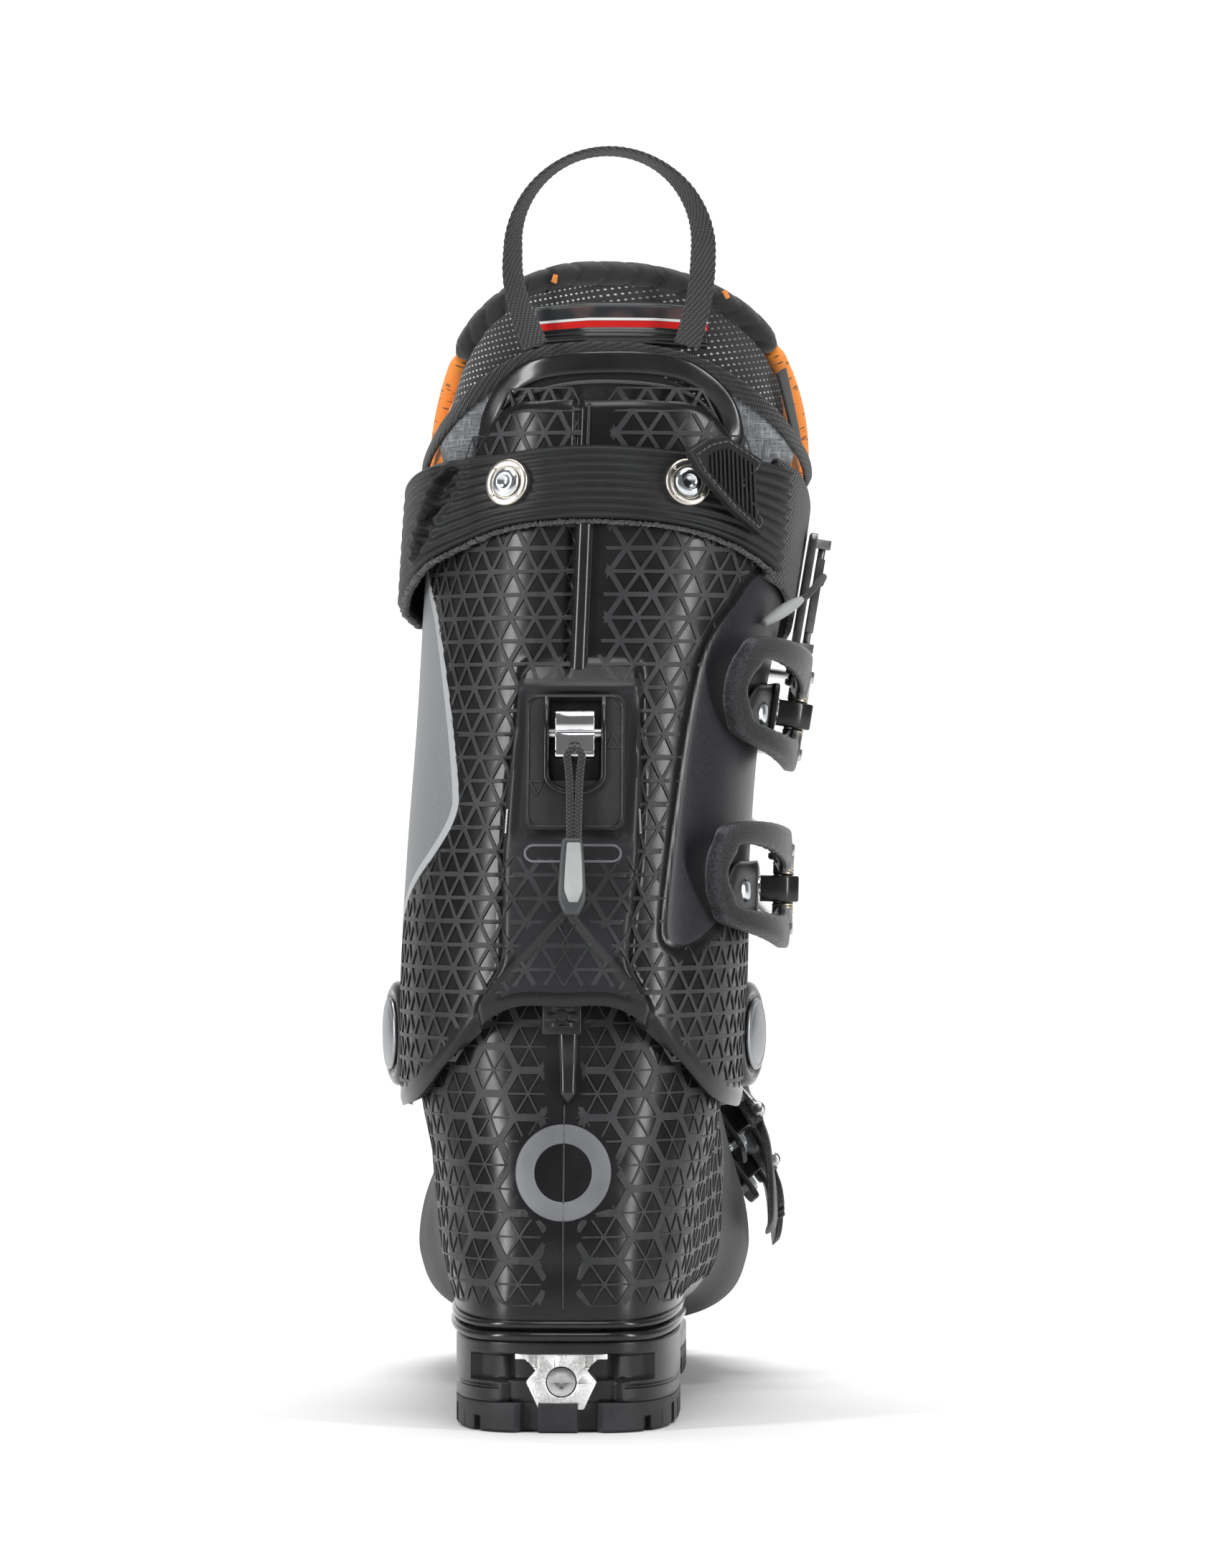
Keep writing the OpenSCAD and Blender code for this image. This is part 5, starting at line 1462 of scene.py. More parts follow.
def build_webbing():
    """Coarse webbing from the rubber's end round the front of the leg."""
    dirs = np.arange(58, 258.01, 1.0)
    v = np.linspace(-1, 1, 40)
    a, w = np.meshgrid(dirs, v)
    z = strap_height(a) + w * WEB_HALF
    lift = np.where(a < 70, 1.2, 0)
    wave = 0.25 * np.sin(arc_of(np.minimum(a, 200)) * 0.35) * (np.abs(w) < 0.98)
    o = strap_off(a) + 2.2 - lift * smooth(70, 58, a) + 0.12 * wave
    uv = np.stack([arc_of(np.minimum(a, 214)) + (a > 214) * (a - 214), w * WEB_HALF], -1)
    obj = grid("strap_webbing_band", leg(a, z, o), [M["web"]], uv=uv)
    thicken(obj, 1.9, 0.4)
    piece(obj, "cuff", "strap_webbing")


STITCH = 2.6


def build_strap_tab():
    """Chevron pull tab: ribbed rubber with a stitched border, drawn as seen from behind."""
    seen = np.array([(38.5, 303), (44, 307), (50, 308.6), (61, 301.6), (60.2, 299.4), (54.2, 294.0),
                     (61.2, 279.5), (59.8, 277.6), (51.8, 284.6), (41.5, 297)])
    place = leg_frame(46, 293, 8.4)
    outline = (seen - place[0][[0, 2]]) / np.array([place[1][0], place[2][2]])
    base = prism("strap_tab_base", outline, -1.8, 1.4, [M["strap"]], 0.8, place, 3)
    parts = []
    inner = (outline - outline.mean(0)) * 0.7 + outline.mean(0)
    for x in np.arange(inner[:, 0].min() + 1.2, inner[:, 0].max() - 0.8, 1.9):
        cuts = []
        for p, q in zip(inner, np.roll(inner, -1, 0)):
            if (p[0] - x) * (q[0] - x) < 0:
                cuts.append(p[1] + (x - p[0]) / (q[0] - p[0]) * (q[1] - p[1]))
        cuts.sort()
        if len(cuts) >= 2 and cuts[-1] - cuts[0] > 2.5:
            rib = rounded_rect(1.0, cuts[-1] - cuts[0], 0.45, 3, (x, (cuts[0] + cuts[-1]) / 2))
            parts.append(prism("rib", rib, 1.0, 2.2, [M["strap"]], 0.3, place))
    ribs = join("strap_tab_ribs", parts)
    stitches = []
    seam = (outline - outline.mean(0)) * 0.86 + outline.mean(0)
    sides = []
    for p, q in zip(seam, np.roll(seam, -1, 0)):
        steps = max(2, round(float(np.linalg.norm(q - p)) / STITCH))
        sides.append(np.linspace(p, q, steps, endpoint=False))
    seam = np.concatenate(sides)
    for p, q in zip(seam, np.roll(seam, -1, 0)):
        path = np.array([[*p, 1.3], [*(p * 0.6 + q * 0.4), 1.75], [*(p * 0.25 + q * 0.75), 1.3]])
        stitches.append(move_to(sweep("stitch", path, circle_section(0.3, 8), [M["thread"]]), place))
    seam_obj = join("strap_tab_stitches", stitches)
    piece(base, "cuff", "strap_tab")
    for o in (ribs, seam_obj):
        piece(o, "cuff")


def build_cam():
    """Cord with its capsule pull on the strap's cam buckle."""
    start, end = np.array([61.5, -25, 250.5]), np.array([73.5, -14, 258.5])
    way = unit(end - start)
    u = np.linspace(0, 1, 30)
    path = start + (end - start) * u[:, None]
    scale = np.clip(np.sin(np.pi * np.clip(u * 0.92 + 0.04, 0, 1)), 0, 1) ** 0.35
    pull = sweep("cam_pull", path, circle_section(2.5, 20, 0.8), [M["tab_light"]], scale=scale)
    piece(pull, "strap_cam")
    cord_keys = [end - way * 1.5, end + way * 3, (78.5, -7.5, 263.5), (80.5, -1, 266), (79.5, 5, 264)]
    path = spline(np.array(cord_keys), np.linspace(0, 4, 40))
    cord = sweep("cam_cord", path, circle_section(1.1, 12), [M["braid"]])
    piece(cord, "strap_cam")


# ---- walk lock ----
WALK_TILT = math.radians(11)


def walk_place(x=0.0, y=0.0, z=0.0):
    """Frame of the walk plate: x across, y up, z outwards."""
    up = np.array([0, math.sin(WALK_TILT), math.cos(WALK_TILT)])
    out = np.array([0, -math.cos(WALK_TILT), math.sin(WALK_TILT)])
    start = leg(0, WALK_Z, HOUSING_RISE) + np.array([x, 0, 0]) + y * up + z * out
    return [start, np.array([1.0, 0, 0]), up, out]


def walk_points(points):
    return to_world(walk_place(), points)


def walk_line(name, outline, z, section, mat, closed=False):
    """Bar along an outline (x, y) on the walk plate, at height z over it."""
    path = walk_points(np.c_[outline, np.full(len(outline), z)])
    return sweep(name, path, section, [mat], normals=walk_place()[3], closed=closed)


def extrude_side(name, side, half, mats, bevel, place):
    """Solid of a side outline (y, z) stretched across x from -half to half."""
    obj = prism(name, side, -half, half, mats, bevel, None, 3)
    shade_by_angle(obj, 32)
    return move_to(obj, [place[0], place[2], place[3], place[1]])


def dir_at(x, z):
    """Direction on the leg whose surface lies at world x, at height z."""
    dirs = np.linspace(-60, 60, 481)
    return float(dirs[np.argmin(np.abs(leg(dirs, z)[:, 0] - x))])


# the walk plate's U-shaped channel, and the height of its border line
CHANNEL_HALF, CHANNEL_TOP, CHANNEL_BEND = 8.9, 18.4, 6.0
PLATE_FACE = 2.62
# side outline of the walk lever (y, z)
WALK_LEVER = [(-8.3, 0.6), (-8.5, 2.6), (-7.6, 4.3), (-5.6, 4.0), (-2.6, 4.2), (-0.9, 3.9), (-0.1, 3.5),
              (0.8, 4.4), (3.2, 5.0), (5.6, 4.4), (7.1, 2.4), (7.0, 0.4), (4.5, -1.6), (1.5, -3.6),
              (-1.5, -3.4), (-4.2, -0.6)]
# turned profile of a gloss black cup: painted shade standing in for the hole that the cord goes through
LEVER_HOLE_SHADE = [(0, -0.4), (1.9, -0.3), (2.2, 0.25), (1.7, 0.3), (1.5, -0.1), (0, -0.2)]
# right strand of the cord: x, y, z in the walk frame; the left one is its mirror image
STRAND = np.array([(0.7, 1.9, 5.0), (1.5, 1.0, 6.6), (2.3, -1.2, 6.9), (1.9, -4.5, 6.2), (1.5, -10, 5.6),
                   (1.25, -20, 5.9), (1.2, -29.5, 6.4)])
TAB_HALF, TAB_WIDTH = 12, 4.35


def build_walk():
    build_walk_plate()
    lever = extrude_side("walk_lever_body", closed_curve(WALK_LEVER, 5), 6.0, [M["chrome"]], 0.35,
                         walk_place(0, 7, 1.8))
    piece(lever, "walk_lever", "walk_lever")
    # gloss black cup on the chrome lever: painted shade in place of the cord's hole
    hole = lathe("walk_lever_hole_shade", LEVER_HOLE_SHADE, [M["rim"]], 28, walk_place(0, 1.4, 5.8))
    piece(hole, "walk_lever")
    strands = []
    for way in (-1, 1):
        path = walk_points(spline(STRAND * np.array([way, 1, 1]), np.linspace(0, 6, 80)))
        strands.append(sweep("strand", path, circle_section(1.2, 14), [M["braid"]], normals=walk_place()[3]))
    piece(join("braided_cord", strands), "walk_pull", "pull_cord")
    build_pull_tab()
    build_housing_marks()


def build_walk_plate():
    """Rim of the plate's channel, border line, two triangle marks and the channel's floor."""
    turn = np.linspace(math.pi, 2 * math.pi, 40)
    bend = np.stack([CHANNEL_HALF * np.cos(turn), CHANNEL_BEND * (np.sin(turn) - 1)], 1)
    rim = np.concatenate([[[-CHANNEL_HALF, CHANNEL_TOP], [-CHANNEL_HALF, CHANNEL_BEND]], bend,
                          [[CHANNEL_HALF, CHANNEL_BEND], [CHANNEL_HALF, CHANNEL_TOP]]])
    rim_bar = walk_line("walk_rim", rim, 2.7, slab_section(1.9, 2.6, 16, 3), M["rim"])
    border = rounded_rect(29.2, 41.0, 3.6, 6, (0, -2))
    seam = walk_line("plate_border", border, PLATE_FACE, circle_section(0.42, 8), M["rim"], True)
    marks = []
    for x, y, way in ((11.9, 4.4, 1), (-11.9, -10.3, -1)):
        corners = np.array([[x - 2.1, y - way * 2.0], [x + 2.1, y - way * 2.0], [x, y + way * 2.2]])
        line = fill_sides(corners, 8)
        marks.append(walk_line("mark", line, PLATE_FACE, circle_section(0.36, 8), M["plate"], True))
    low, high = [-7.9, -7.9, -0.8], [7.9, CHANNEL_TOP, 0.1]
    channel = box_mesh("walk_channel", low, high, [M["rim"]], 0.3, walk_place())
    for part in (rim_bar, seam, join("walk_marks", marks), channel):
        piece(part, "cuff")


def build_pull_tab():
    """Drop-shaped rubber tab with a lighter inset."""
    u = np.linspace(0, 1, 24)
    half = TAB_WIDTH * (1 - 0.28 * (1 - u) ** 2 - 0.52 * smooth(0.72, 1.04, u) ** 1.4)
    y = TAB_HALF * (1 - 2 * u)
    outline = np.concatenate([np.c_[half, y], np.c_[-half, y][::-1]])
    place = walk_place(-0.5, -39, 6.3)
    body = prism("pull_tab_body", outline, -2.5, 2.4, [M["tab_dark"]], 1.2, place, 4)
    inner = outline * np.array([0.66, 0.78]) + np.array([0.55, 1.1])
    inset = prism("pull_tab_inset", inner, 1.6, 2.95, [M["tab_light"]], 0.5, place, 3)
    piece(shade_by_angle(body, 40), "walk_pull", "pull_tab")
    piece(shade_by_angle(inset, 40), "walk_pull")


def build_housing_marks():
    """Side slots and the plain pill-shaped outline on the housing."""
    for name, x in (("slot_in", -15.0), ("slot_out", 21.6)):
        a = dir_at(x, 188)
        place = leg_frame(a, 188)
        place[0] = cuff_point(a, 188, 0.05)
        well = prism(name, rounded_rect(1.7, 9.6, 0.8, 4), -0.6, 0.45, [M["rim"]], 0.25, place)
        strip = prism(name + "_pin", rounded_rect(0.8, 7.8, 0.35, 4), -0.5, 0.75, [M["steel"]], 0.2, place)
        piece(well, "cuff")
        piece(strip, "cuff")
    pill = fill_sides(rounded_rect(26.4, 5.0, 2.45, 10, (3.2, 178.2)), 5)
    on = np.array([cuff_point(dir_at(x, z), z, 0.12) for x, z in pill])
    line = sweep("pill_outline", on, slab_section(0.75, 0.3, 8, 3), [M["mark"]], normals=[0, -1, 0.1],
                 closed=True)
    piece(line, "cuff")


CAP_TURN = math.radians(13)
CAP_AT = 58.0
CAP_DISC = [(0, -0.6), (10.4, -0.5), (11.3, 0.1), (11.6, 0.9), (11.2, 1.5), (10.2, 1.7), (9.6, 1.55),
            (9.2, 1.75), (6.5, 2.15), (3, 2.4), (0, 2.45)]
CAP_RING = [(0, -6.6), (16.9, -6.5), (16.8, -1.6), (16.2, -0.5), (14.6, 0.35), (13.2, 0.3), (12.2, -0.3),
            (11.8, -1.2), (0, -1.3)]


def build_caps():
    """Domed pivot caps in their dark rings."""
    for name, side in (("pivot_cap_in", -1), ("pivot_cap_out", 1)):
        out = np.array([side * math.cos(CAP_TURN), -math.sin(CAP_TURN), 0.0])
        along = unit(np.cross(np.array([0, 0, 1.0]), out))
        place = [np.array([side * CAP_AT, 0, PIVOT_Z]), along, np.cross(out, along), out]
        disc = lathe(name, CAP_DISC, [M["cap"]], 72, place)
        ring = lathe(name + "_ring", CAP_RING, [M["rim"]], 72, place)
        piece(disc, "cuff", "pivot_caps" if side < 0 else None)
        piece(ring, "cuff")


# ---- buckles ----
PIN_LIFT = 9.5
BAIL_BACK, BAIL_OUT, WIRE_Y, WIRE_R = 9, 2.5, 12.6, 1.6
RING_GAP = 9.5
COIL_R, COIL_TURNS, COIL_X, COIL_Z = 2.9, 4, 0.4, 1.6
WIDE_LEVER = 35
SHARE = np.linspace(0, 1, 61)
# turned profiles, as (radius, height) from the axis back to the axis
KNUCKLE = [(0, -3.2), (3.3, -3.2), (3.9, -2.6), (3.9, -1.2), (3.1, -0.8), (3.1, 0.2), (4.1, 0.6), (4.1, 2.2),
           (3.4, 2.9), (2.2, 3.1), (0, 3.1)]
ROLLER = [(0, -3), (1.9, -3), (2.3, -2.5), (2.3, -1.7), (1.6, -1.4), (1.6, -0.9), (2.4, -0.6), (2.4, 0.6),
          (1.6, 0.9), (1.6, 1.4), (2.3, 1.7), (2.3, 2.5), (1.8, 3), (0, 3)]
RIVET_DOME = [(0, -0.5), (5.4, -0.4), (5.7, 0.2), (5.2, 0.9), (4.0, 1.5), (3.6, 2.3), (2.4, 2.9), (0, 3.2)]
BAIL_END = [(0, -6.4), (1.5, -6.4), (1.6, -2), (2.4, -1.7), (2.4, 1.7), (1.5, 2.1), (0, 2.1)]


def lever_height(u):
    """Height of the lever's middle line over the shell, u from the pin to its free end."""
    return PIN_LIFT + 1.7 - 5.6 * u + 2.2 * np.sin(np.radians(180 * u))


def bail_height(u):
    """Height of the wire over the shell, u from the lever to the ladder."""
    return PIN_LIFT + BAIL_OUT - 5.2 * smooth(0, 0.5, u) - 1.4 * smooth(0.8, 1, u)


def ring_outline(keys, turn, centre):
    """Distance from centre to a smooth closed outline, at each turn angle."""
    curve = closed_curve(keys) - np.array([centre, 0])
    angle = np.degrees(np.arctan2(curve[:, 1], curve[:, 0])) % 360
    order = np.argsort(angle)
    return np.interp(turn, angle[order], np.hypot(curve[order, 0], curve[order, 1]), period=360)


def lever_mesh(name, F, side, width, thin, climb, lean):
    """Cast lever: a rounded ring round its window, open at the pin and curved like the shell. side is its
    middle line in the frame F; climb and lean carry its free end up and slant it."""
    h = width / 2
    length = -side[:, 0].min()
    arm = 0.62 * h
    outer = [(4.6, -arm), (4.6, arm), (-5, arm + 0.8), (-12, h - 4.6), (-19, h - 1.2), (-27, h),
             (-length + 8, h - 2.4), (-length + 1.5, h - 9), (-length, 0), (-length + 1.5, 9 - h),
             (-length + 8, 2.4 - h), (-27, -h), (-19, 1.2 - h), (-12, 4.6 - h), (-5, -arm - 0.8)]
    window = [(3.4, 0), (3.2, 4.6), (-11, 4.7), (-17, 5.1), (-23, h - 10.8), (-length + 13, h - 8.8),
              (-length + 7.2, h - 12.6), (-length + 4.6, 0), (-length + 7.2, 12.6 - h),
              (-length + 13, 8.8 - h), (-23, 10.8 - h), (-17, -5.1), (-11, -4.7), (3.2, -4.6)]
    centre = -(length + 12) / 2
    turn = np.linspace(RING_GAP, 360 - RING_GAP, 144)
    to_end = np.minimum(turn - RING_GAP, 360 - RING_GAP - turn)
    close = (np.clip(to_end / 1.5, 0.004, 1) ** 0.5)[:, None]
    r_out, r_in = ring_outline(outer, turn, centre), ring_outline(window, turn, centre)
    c, s = superellipse(np.linspace(0, 360, 32, endpoint=False), 3.6)
    mid, half = (r_out + r_in)[:, None] / 2, (r_out - r_in)[:, None] / 2 * close
    r = mid + c[None] * half
    x = centre + r * np.cos(np.radians(turn))[:, None]
    y = r * np.sin(np.radians(turn))[:, None]
    thick = (thin + 0.9 * smooth(-14, -4, x)) * close
    rise = 0.7 * smooth(0.2, 0.95, c)[None] - 0.5 * smooth(0.3, -0.9, c)[None]
    free = smooth(-13, -length, x)
    height = np.interp(-x, -side[:, 0], side[:, 1])
    x, y = x - lean * y * free, y + climb * free
    z = height + s[None] * thick + rise * (s > 0)[None]
    return fix_normals(grid(name, to_world(F, np.stack([x, y, z], -1)), [M["cast_dark"]], wrap_cols=True))


def spring_mesh(F, y0, y1):
    """Coil spring on a pin, from y0 to y1 along it."""
    t = np.linspace(0, 1, COIL_TURNS * 16)
    a = 2 * math.pi * COIL_TURNS * t
    local = [COIL_X + COIL_R * np.cos(a), y0 + (y1 - y0) * t, COIL_Z + COIL_R * np.sin(a)]
    path = to_world(F, np.stack(local, 1))
    return sweep("coil", path, circle_section(0.62, 8), [M["spring"]], normals=F[2])


def axis_place(F, x, y, z, way):
    """Frame whose z runs along the pin, away from the middle."""
    return [place_at(F, x, y, z)[0], F[3], way * np.cross(F[2], F[3]), way * F[2]]


def build_knuckles(name, F, spread, with_rollers):
    """Thick ends of the lever's arms round the pin."""
    parts = []
    for way in (-1, 1):
        at = axis_place(F, 0.3, way * 12.4 * spread, 0.4, way)
        parts.append(lathe("knuckle", KNUCKLE, [M["cast_dark"]], 20, at))
        low, high = [-12.5, 8.2 * spread, -1.9], [1.5, 12.6 * spread, 2.9]
        arm = box_mesh("arm", low, high, [M["cast_dark"]], 1.1)
        if way < 0:
            arm.data.transform(Matrix.Diagonal((1, -1, 1, 1)))
            arm.data.flip_normals()
        parts.append(move_to(arm, F))
        if with_rollers:
            nut = axis_place(F, 4.7, way * 12.8 * spread, 1.2, way)
            parts.append(lathe("roller", ROLLER, [M["cast_dark"]], 16, nut))
    piece(join(name + "_knuckles", parts), name + "_lever")


def build_block(name, F, spread, body):
    """Rounded block between the springs, seen through the lever's window."""
    top = spread ** 2
    keys = np.array([(5.2, 1.4 - PIN_LIFT), (6.2, 1.6), (3.4, 6.2 * top), (-3.4, 6.6 * top),
                     (-7.4, 3.4 * spread), (-9.5, 1.4 - PIN_LIFT)])
    side = closed_curve(keys, 4) * 0.4 + np.repeat(keys, 4, 0) * 0.6
    block = prism(name + "_block", side, -4.2, 4.2, [M["rim"]], 0.7, None, 3)
    move_to(shade_by_angle(block, 30), [F[0], F[1], F[3], -F[2]])
    piece(block, body)


def build_bail(name, F, point):
    """Wire bail with its two ends; point(u, way) gives places and outward directions of one leg of it."""
    u = np.linspace(0.12, 1, 34)
    up, low = point(u, 1), point(u, -1)
    starts = [axis_place(F, -BAIL_BACK, way * WIRE_Y, BAIL_OUT, way) for way in (-1, 1)]
    turn_mid = (up[0][-1] + low[0][-1]) / 2 + 1.6 * unit(up[0][-1] - up[0][-3])
    path = np.concatenate([[starts[1][0]], up[0], [turn_mid], low[0][::-1], [starts[0][0]]])
    out = np.concatenate([up[1][:1], up[1], up[1][-1:], low[1][::-1], low[1][:1]])
    keep = np.linspace(0, len(path) - 1, 170)
    wire = sweep(name + "_wire", spline(path, keep), circle_section(WIRE_R, 14), [M["steel"]],
                 normals=unit(spline(out, keep)))
    ends = [lathe("end", BAIL_END, [M["steel"]], 16, place) for place in starts]
    piece(join(name + "_wire_bail", [wire] + ends), name + "_bail", name + "_bail")


def build_buckle(name, F, line, body, width, base, rivet, thin, climb=0.0, lean=0.0):
    """One buckle without its bail: lever, knuckles, springs, block, rivet dome and base plate. line is the
    lever's middle line as (along, out) in the frame F, base the length of the base plate."""
    ring = lever_mesh(name + "_lever_ring", F, line, width, thin, climb, lean)
    piece(ring, name + "_lever", name + "_lever")
    spread = min(1.0, width / 34)
    build_knuckles(name, F, spread, width > WIDE_LEVER)
    springs = [spring_mesh(F, way * 4.6, way * 8.4 * spread) for way in (-1, 1)]
    piece(join(name + "_springs", springs), body)
    build_block(name, F, spread, body)
    piece(lathe(name + "_dome", RIVET_DOME, [M["dome"]], 40, rivet), body)
    outline = rounded_rect(base, 17.4, 3.8, 5, (5 - base / 2, 0))
    plate = prism(name + "_base_plate", outline, 0.4 - PIN_LIFT, 2.3 - PIN_LIFT, [M["black"]], 0.5, F, 3)
    piece(plate, body, name + "_base")


def wire_half(u):
    """Half distance between the legs of a bail."""
    return WIRE_Y - 2.6 * smooth(0.5, 1, u)


def build_cuff_buckle(name, a0, z0, a1, rise):
    """Buckle at direction a0 and height z0 with a lever to a1; rise lifts the bail towards its ladder."""
    F = leg_frame(a0, z0, cuff_shift(a0) + PIN_LIFT)
    a = a0 + (a1 - a0) * SHARE
    line = leg(a, z0, cuff_shift(a) + lever_height(SHARE)) - F[0]
    base_a = np.linspace(a0 - 2, a0 - 42, 40)[None]
    end = np.sqrt(np.clip(1 - smooth(a0 - 34, a0 - 42, base_a) ** 2, 0, 1))
    base_v = np.linspace(-1, 1, 16)[:, None]
    swell = 1.9 - 0.9 * np.abs(base_v) ** 6
    strip = leg(base_a, z0 + base_v * 8.6 * end, cuff_shift(base_a) + swell)
    plate = thicken(grid(name + "_base_strip", strip, [M["black"]]), 1.6)
    piece(plate, "cuff")
    rivet = leg_frame(a0 - 33, z0, 1.8)
    build_buckle(name, F, np.stack([line @ F[1], line @ F[3]], 1), "cuff", 38, 34, rivet, 2.1, 5.0, 0.34)

    def point(u, way):
        back = a0 - 8.5
        d = back + (172 - back) * u
        z = z0 + way * wire_half(u) + rise * smooth(0.1, 0.8, u)
        return leg(d, z, cuff_shift(np.minimum(d, 150)) + bail_height(u)), leg_frame(d, z)[3]

    build_bail(name, F, point)


def build_foot_buckle(name, t, a0):
    """Buckle on the foot's ring t at ring angle a0."""
    F = foot_frame(t, a0, PIN_LIFT)
    a = a0 + (4 - a0) * SHARE
    line = foot(t, a, -lever_height(SHARE)) - F[0]
    flare = 3.2 * smooth(0.45, 1, SHARE) ** 1.5
    rivet = place_at(F, -9.5, 0, 2.1 - PIN_LIFT)
    build_buckle(name, F, np.stack([line @ F[1], line @ F[3] + flare], 1), "lower_shell", 30, 21, rivet, 1.25)

    def point(u, way):
        d = a0 + 10 + (-122 - a0 - 10) * u
        g = foot_frame(t, d, bail_height(u))
        return g[0] + way * wire_half(u)[:, None] * F[2], g[3]

    build_bail(name, F, point)


def build_buckles():
    build_cuff_buckle("upper", 101, 222, 44, 4)
    build_cuff_buckle("lower", 96, 166, 42, 15)
    build_foot_buckle("instep", 5.2, -38)
    build_foot_buckle("toe", 3.6, -36)


# ---- sole ----
TREAD_TOP = 9.0
HEEL_TOP = 28.0
HEEL_HALF, HEEL_BACK, HEEL_FRONT = 35, 66, 36
TOE_MID_Y, TOE_BACK, TOE_FRONT = 134, 76, 84
TOE_OUTER, TOE_INNER = 33.0, 38


def heel_wall(a, z, o):
    """Point of the heel block's side, direction a (0 at the back), pushed in by o."""
    c, s = superellipse(a, 3.4)
    x = s * (HEEL_HALF - o)
    y = HEEL_MID_Y - c * (np.where(c > 0, HEEL_BACK, HEEL_FRONT) - o)
    return np.stack(np.broadcast_arrays(x, y, z), -1)


def heel_cut(x, y, z):
    """Depth of the heel block's recesses seen from the back."""
    back = smooth(-70, -76, y)
    ax = np.abs(x)
    upper = smooth(28.4, 27.4, ax) * smooth(15.6, 16.6, z) * smooth(24.2, 23.2, z)
    slope = np.clip((16.0 - z) / 8.0, 0, 1)
    wing_in = 19.5 - 5.6 * slope
    lower = smooth(wing_in + 0.5, wing_in - 0.5, ax) * smooth(16.8, 15.8, z)
    middle = smooth(19.4, 18.0, ax) * smooth(24.2, 23.2, z)
    groove = smooth(14.6, 14.2, z) * smooth(13.2, 13.6, z) * smooth(19.5, 21, ax)
    return back * (2.2 * upper + 3.6 * np.maximum(lower, middle)) + 0.7 * groove


def build_heel():
    """Heel block with its recesses, its tread and two beads over it."""
    back = np.arange(-30, 30.01, 0.4)
    a = np.concatenate([np.arange(-100, -30, 2.5), back, np.arange(32.5, 262.5, 2.5)])[None]
    rows = [[TREAD_TOP, 9.2, 9.7], np.arange(10.4, 27.4, 0.4), [27.6, 27.9, HEEL_TOP]]
    z = np.concatenate(rows)[:, None]
    lip = 0.5 * smooth(9.6, TREAD_TOP, z) + 0.6 * smooth(27.5, HEEL_TOP, z)
    base = heel_wall(a, z, lip)
    o = lip + heel_cut(base[..., 0], base[..., 1], z)
    ring = heel_wall(a, z, o)
    block = shade_by_angle(closed_rings("heel_block_body", ring, [M["block"]]), 40)
    piece(block, "lower_shell", "heel_block")
    build_heel_tread()
    t = np.linspace(-96, 96, 220)
    for name, z0, r, out in (("heel_bead_low", 29.6, 1.5, 0.3), ("heel_bead_high", 33.2, 1.25, 0.2)):
        ends = 2.6 * smooth(35, 75, np.abs(t))
        path = heel_wall(t, z0 + ends, -out)
        away = unit(path - np.array([0, HEEL_MID_Y, 30]))
        bead = sweep(name, path, circle_section(r, 14), [M["rim"]], normals=away)
        piece(bead, "lower_shell")


def build_tread(name, cad, place, cuts):
    """Sole rubber as one block with notches cut into its edge; place(a, z, o) gives its side."""
    a = np.arange(-100, 262.5, 0.5)[None]
    top = [TREAD_TOP - 0.15, TREAD_TOP]
    z = np.concatenate([[0.0, 0.25, 0.8], np.arange(1.4, TREAD_TOP - 0.3, 0.55), top])[:, None]
    lip = 0.7 * smooth(0.8, 0, z) + 0.25 * smooth(TREAD_TOP - 0.4, TREAD_TOP, z)
    base = place(a, z, lip)
    ring = place(a, z, lip + cuts(base[..., 0], base[..., 1], z))
    tread = shade_by_angle(closed_rings(name, ring, [M["tread"]]), 40)
    piece(tread, "lower_shell", cad)


def build_heel_tread():
    """Heel rubber: deep and small notches at the back, bars along the sides."""
    def cuts(x, y, z):
        back = smooth(-70, -78, y)
        deep = smooth(-14.4, -13.4, x) * smooth(-7.0, -8.0, x)
        deep = deep + smooth(5.0, 6.0, x) * smooth(13.0, 12.0, x)
        ax = np.abs(x)
        small = smooth(25.4, 25.8, ax) * smooth(27.6, 27.2, ax)
        small = small + smooth(30.2, 30.6, ax) * smooth(32.4, 32, ax)
        side = smooth(-72, -66, y) * (np.mod(y, 15) < 4.2)
        low = smooth(6.6, 5.9, z)
        return back * (4.2 * deep + 2.0 * small * smooth(4.6, 4.0, z)) + 2.6 * side * low

    build_tread("heel_tread_body", "heel_tread", heel_wall, cuts)


def toe_wall(a, z, o):
    """Point of the toe sole's side, direction a (0 at the back), pushed in by o."""
    c, s = superellipse(a, 2.8)
    y = TOE_MID_Y - c * (np.where(c > 0, TOE_BACK, TOE_FRONT) - o)
    waist = 3.0 * smooth(100, 60, y) + 5.0 * smooth(170, 214, y)
    x = s * (np.where(s > 0, TOE_OUTER, TOE_INNER) - waist - o)
    return np.stack(np.broadcast_arrays(x, y, z), -1)


def build_toe_sole():
    """Toe block and its tread."""
    a = np.arange(-100, 260, 1.5)[None]
    z = np.concatenate([[9.0, 9.3, 10.0], np.arange(11, 20.2, 0.8), [20.6, 21.0]])[:, None]
    step = 0.8 * smooth(14.2, 15.2, z) + 0.5 * smooth(9.9, 9.0, z)
    block = shade_by_angle(closed_rings("toe_block_body", toe_wall(a, z, step), [M["block"]]), 40)
    piece(block, "lower_shell", "toe_block")

    build_tread("toe_tread_body", "toe_tread", toe_wall,
                lambda x, y, z: 2.8 * (np.mod(y, 13) < 4.0) * smooth(6.4, 5.7, z))


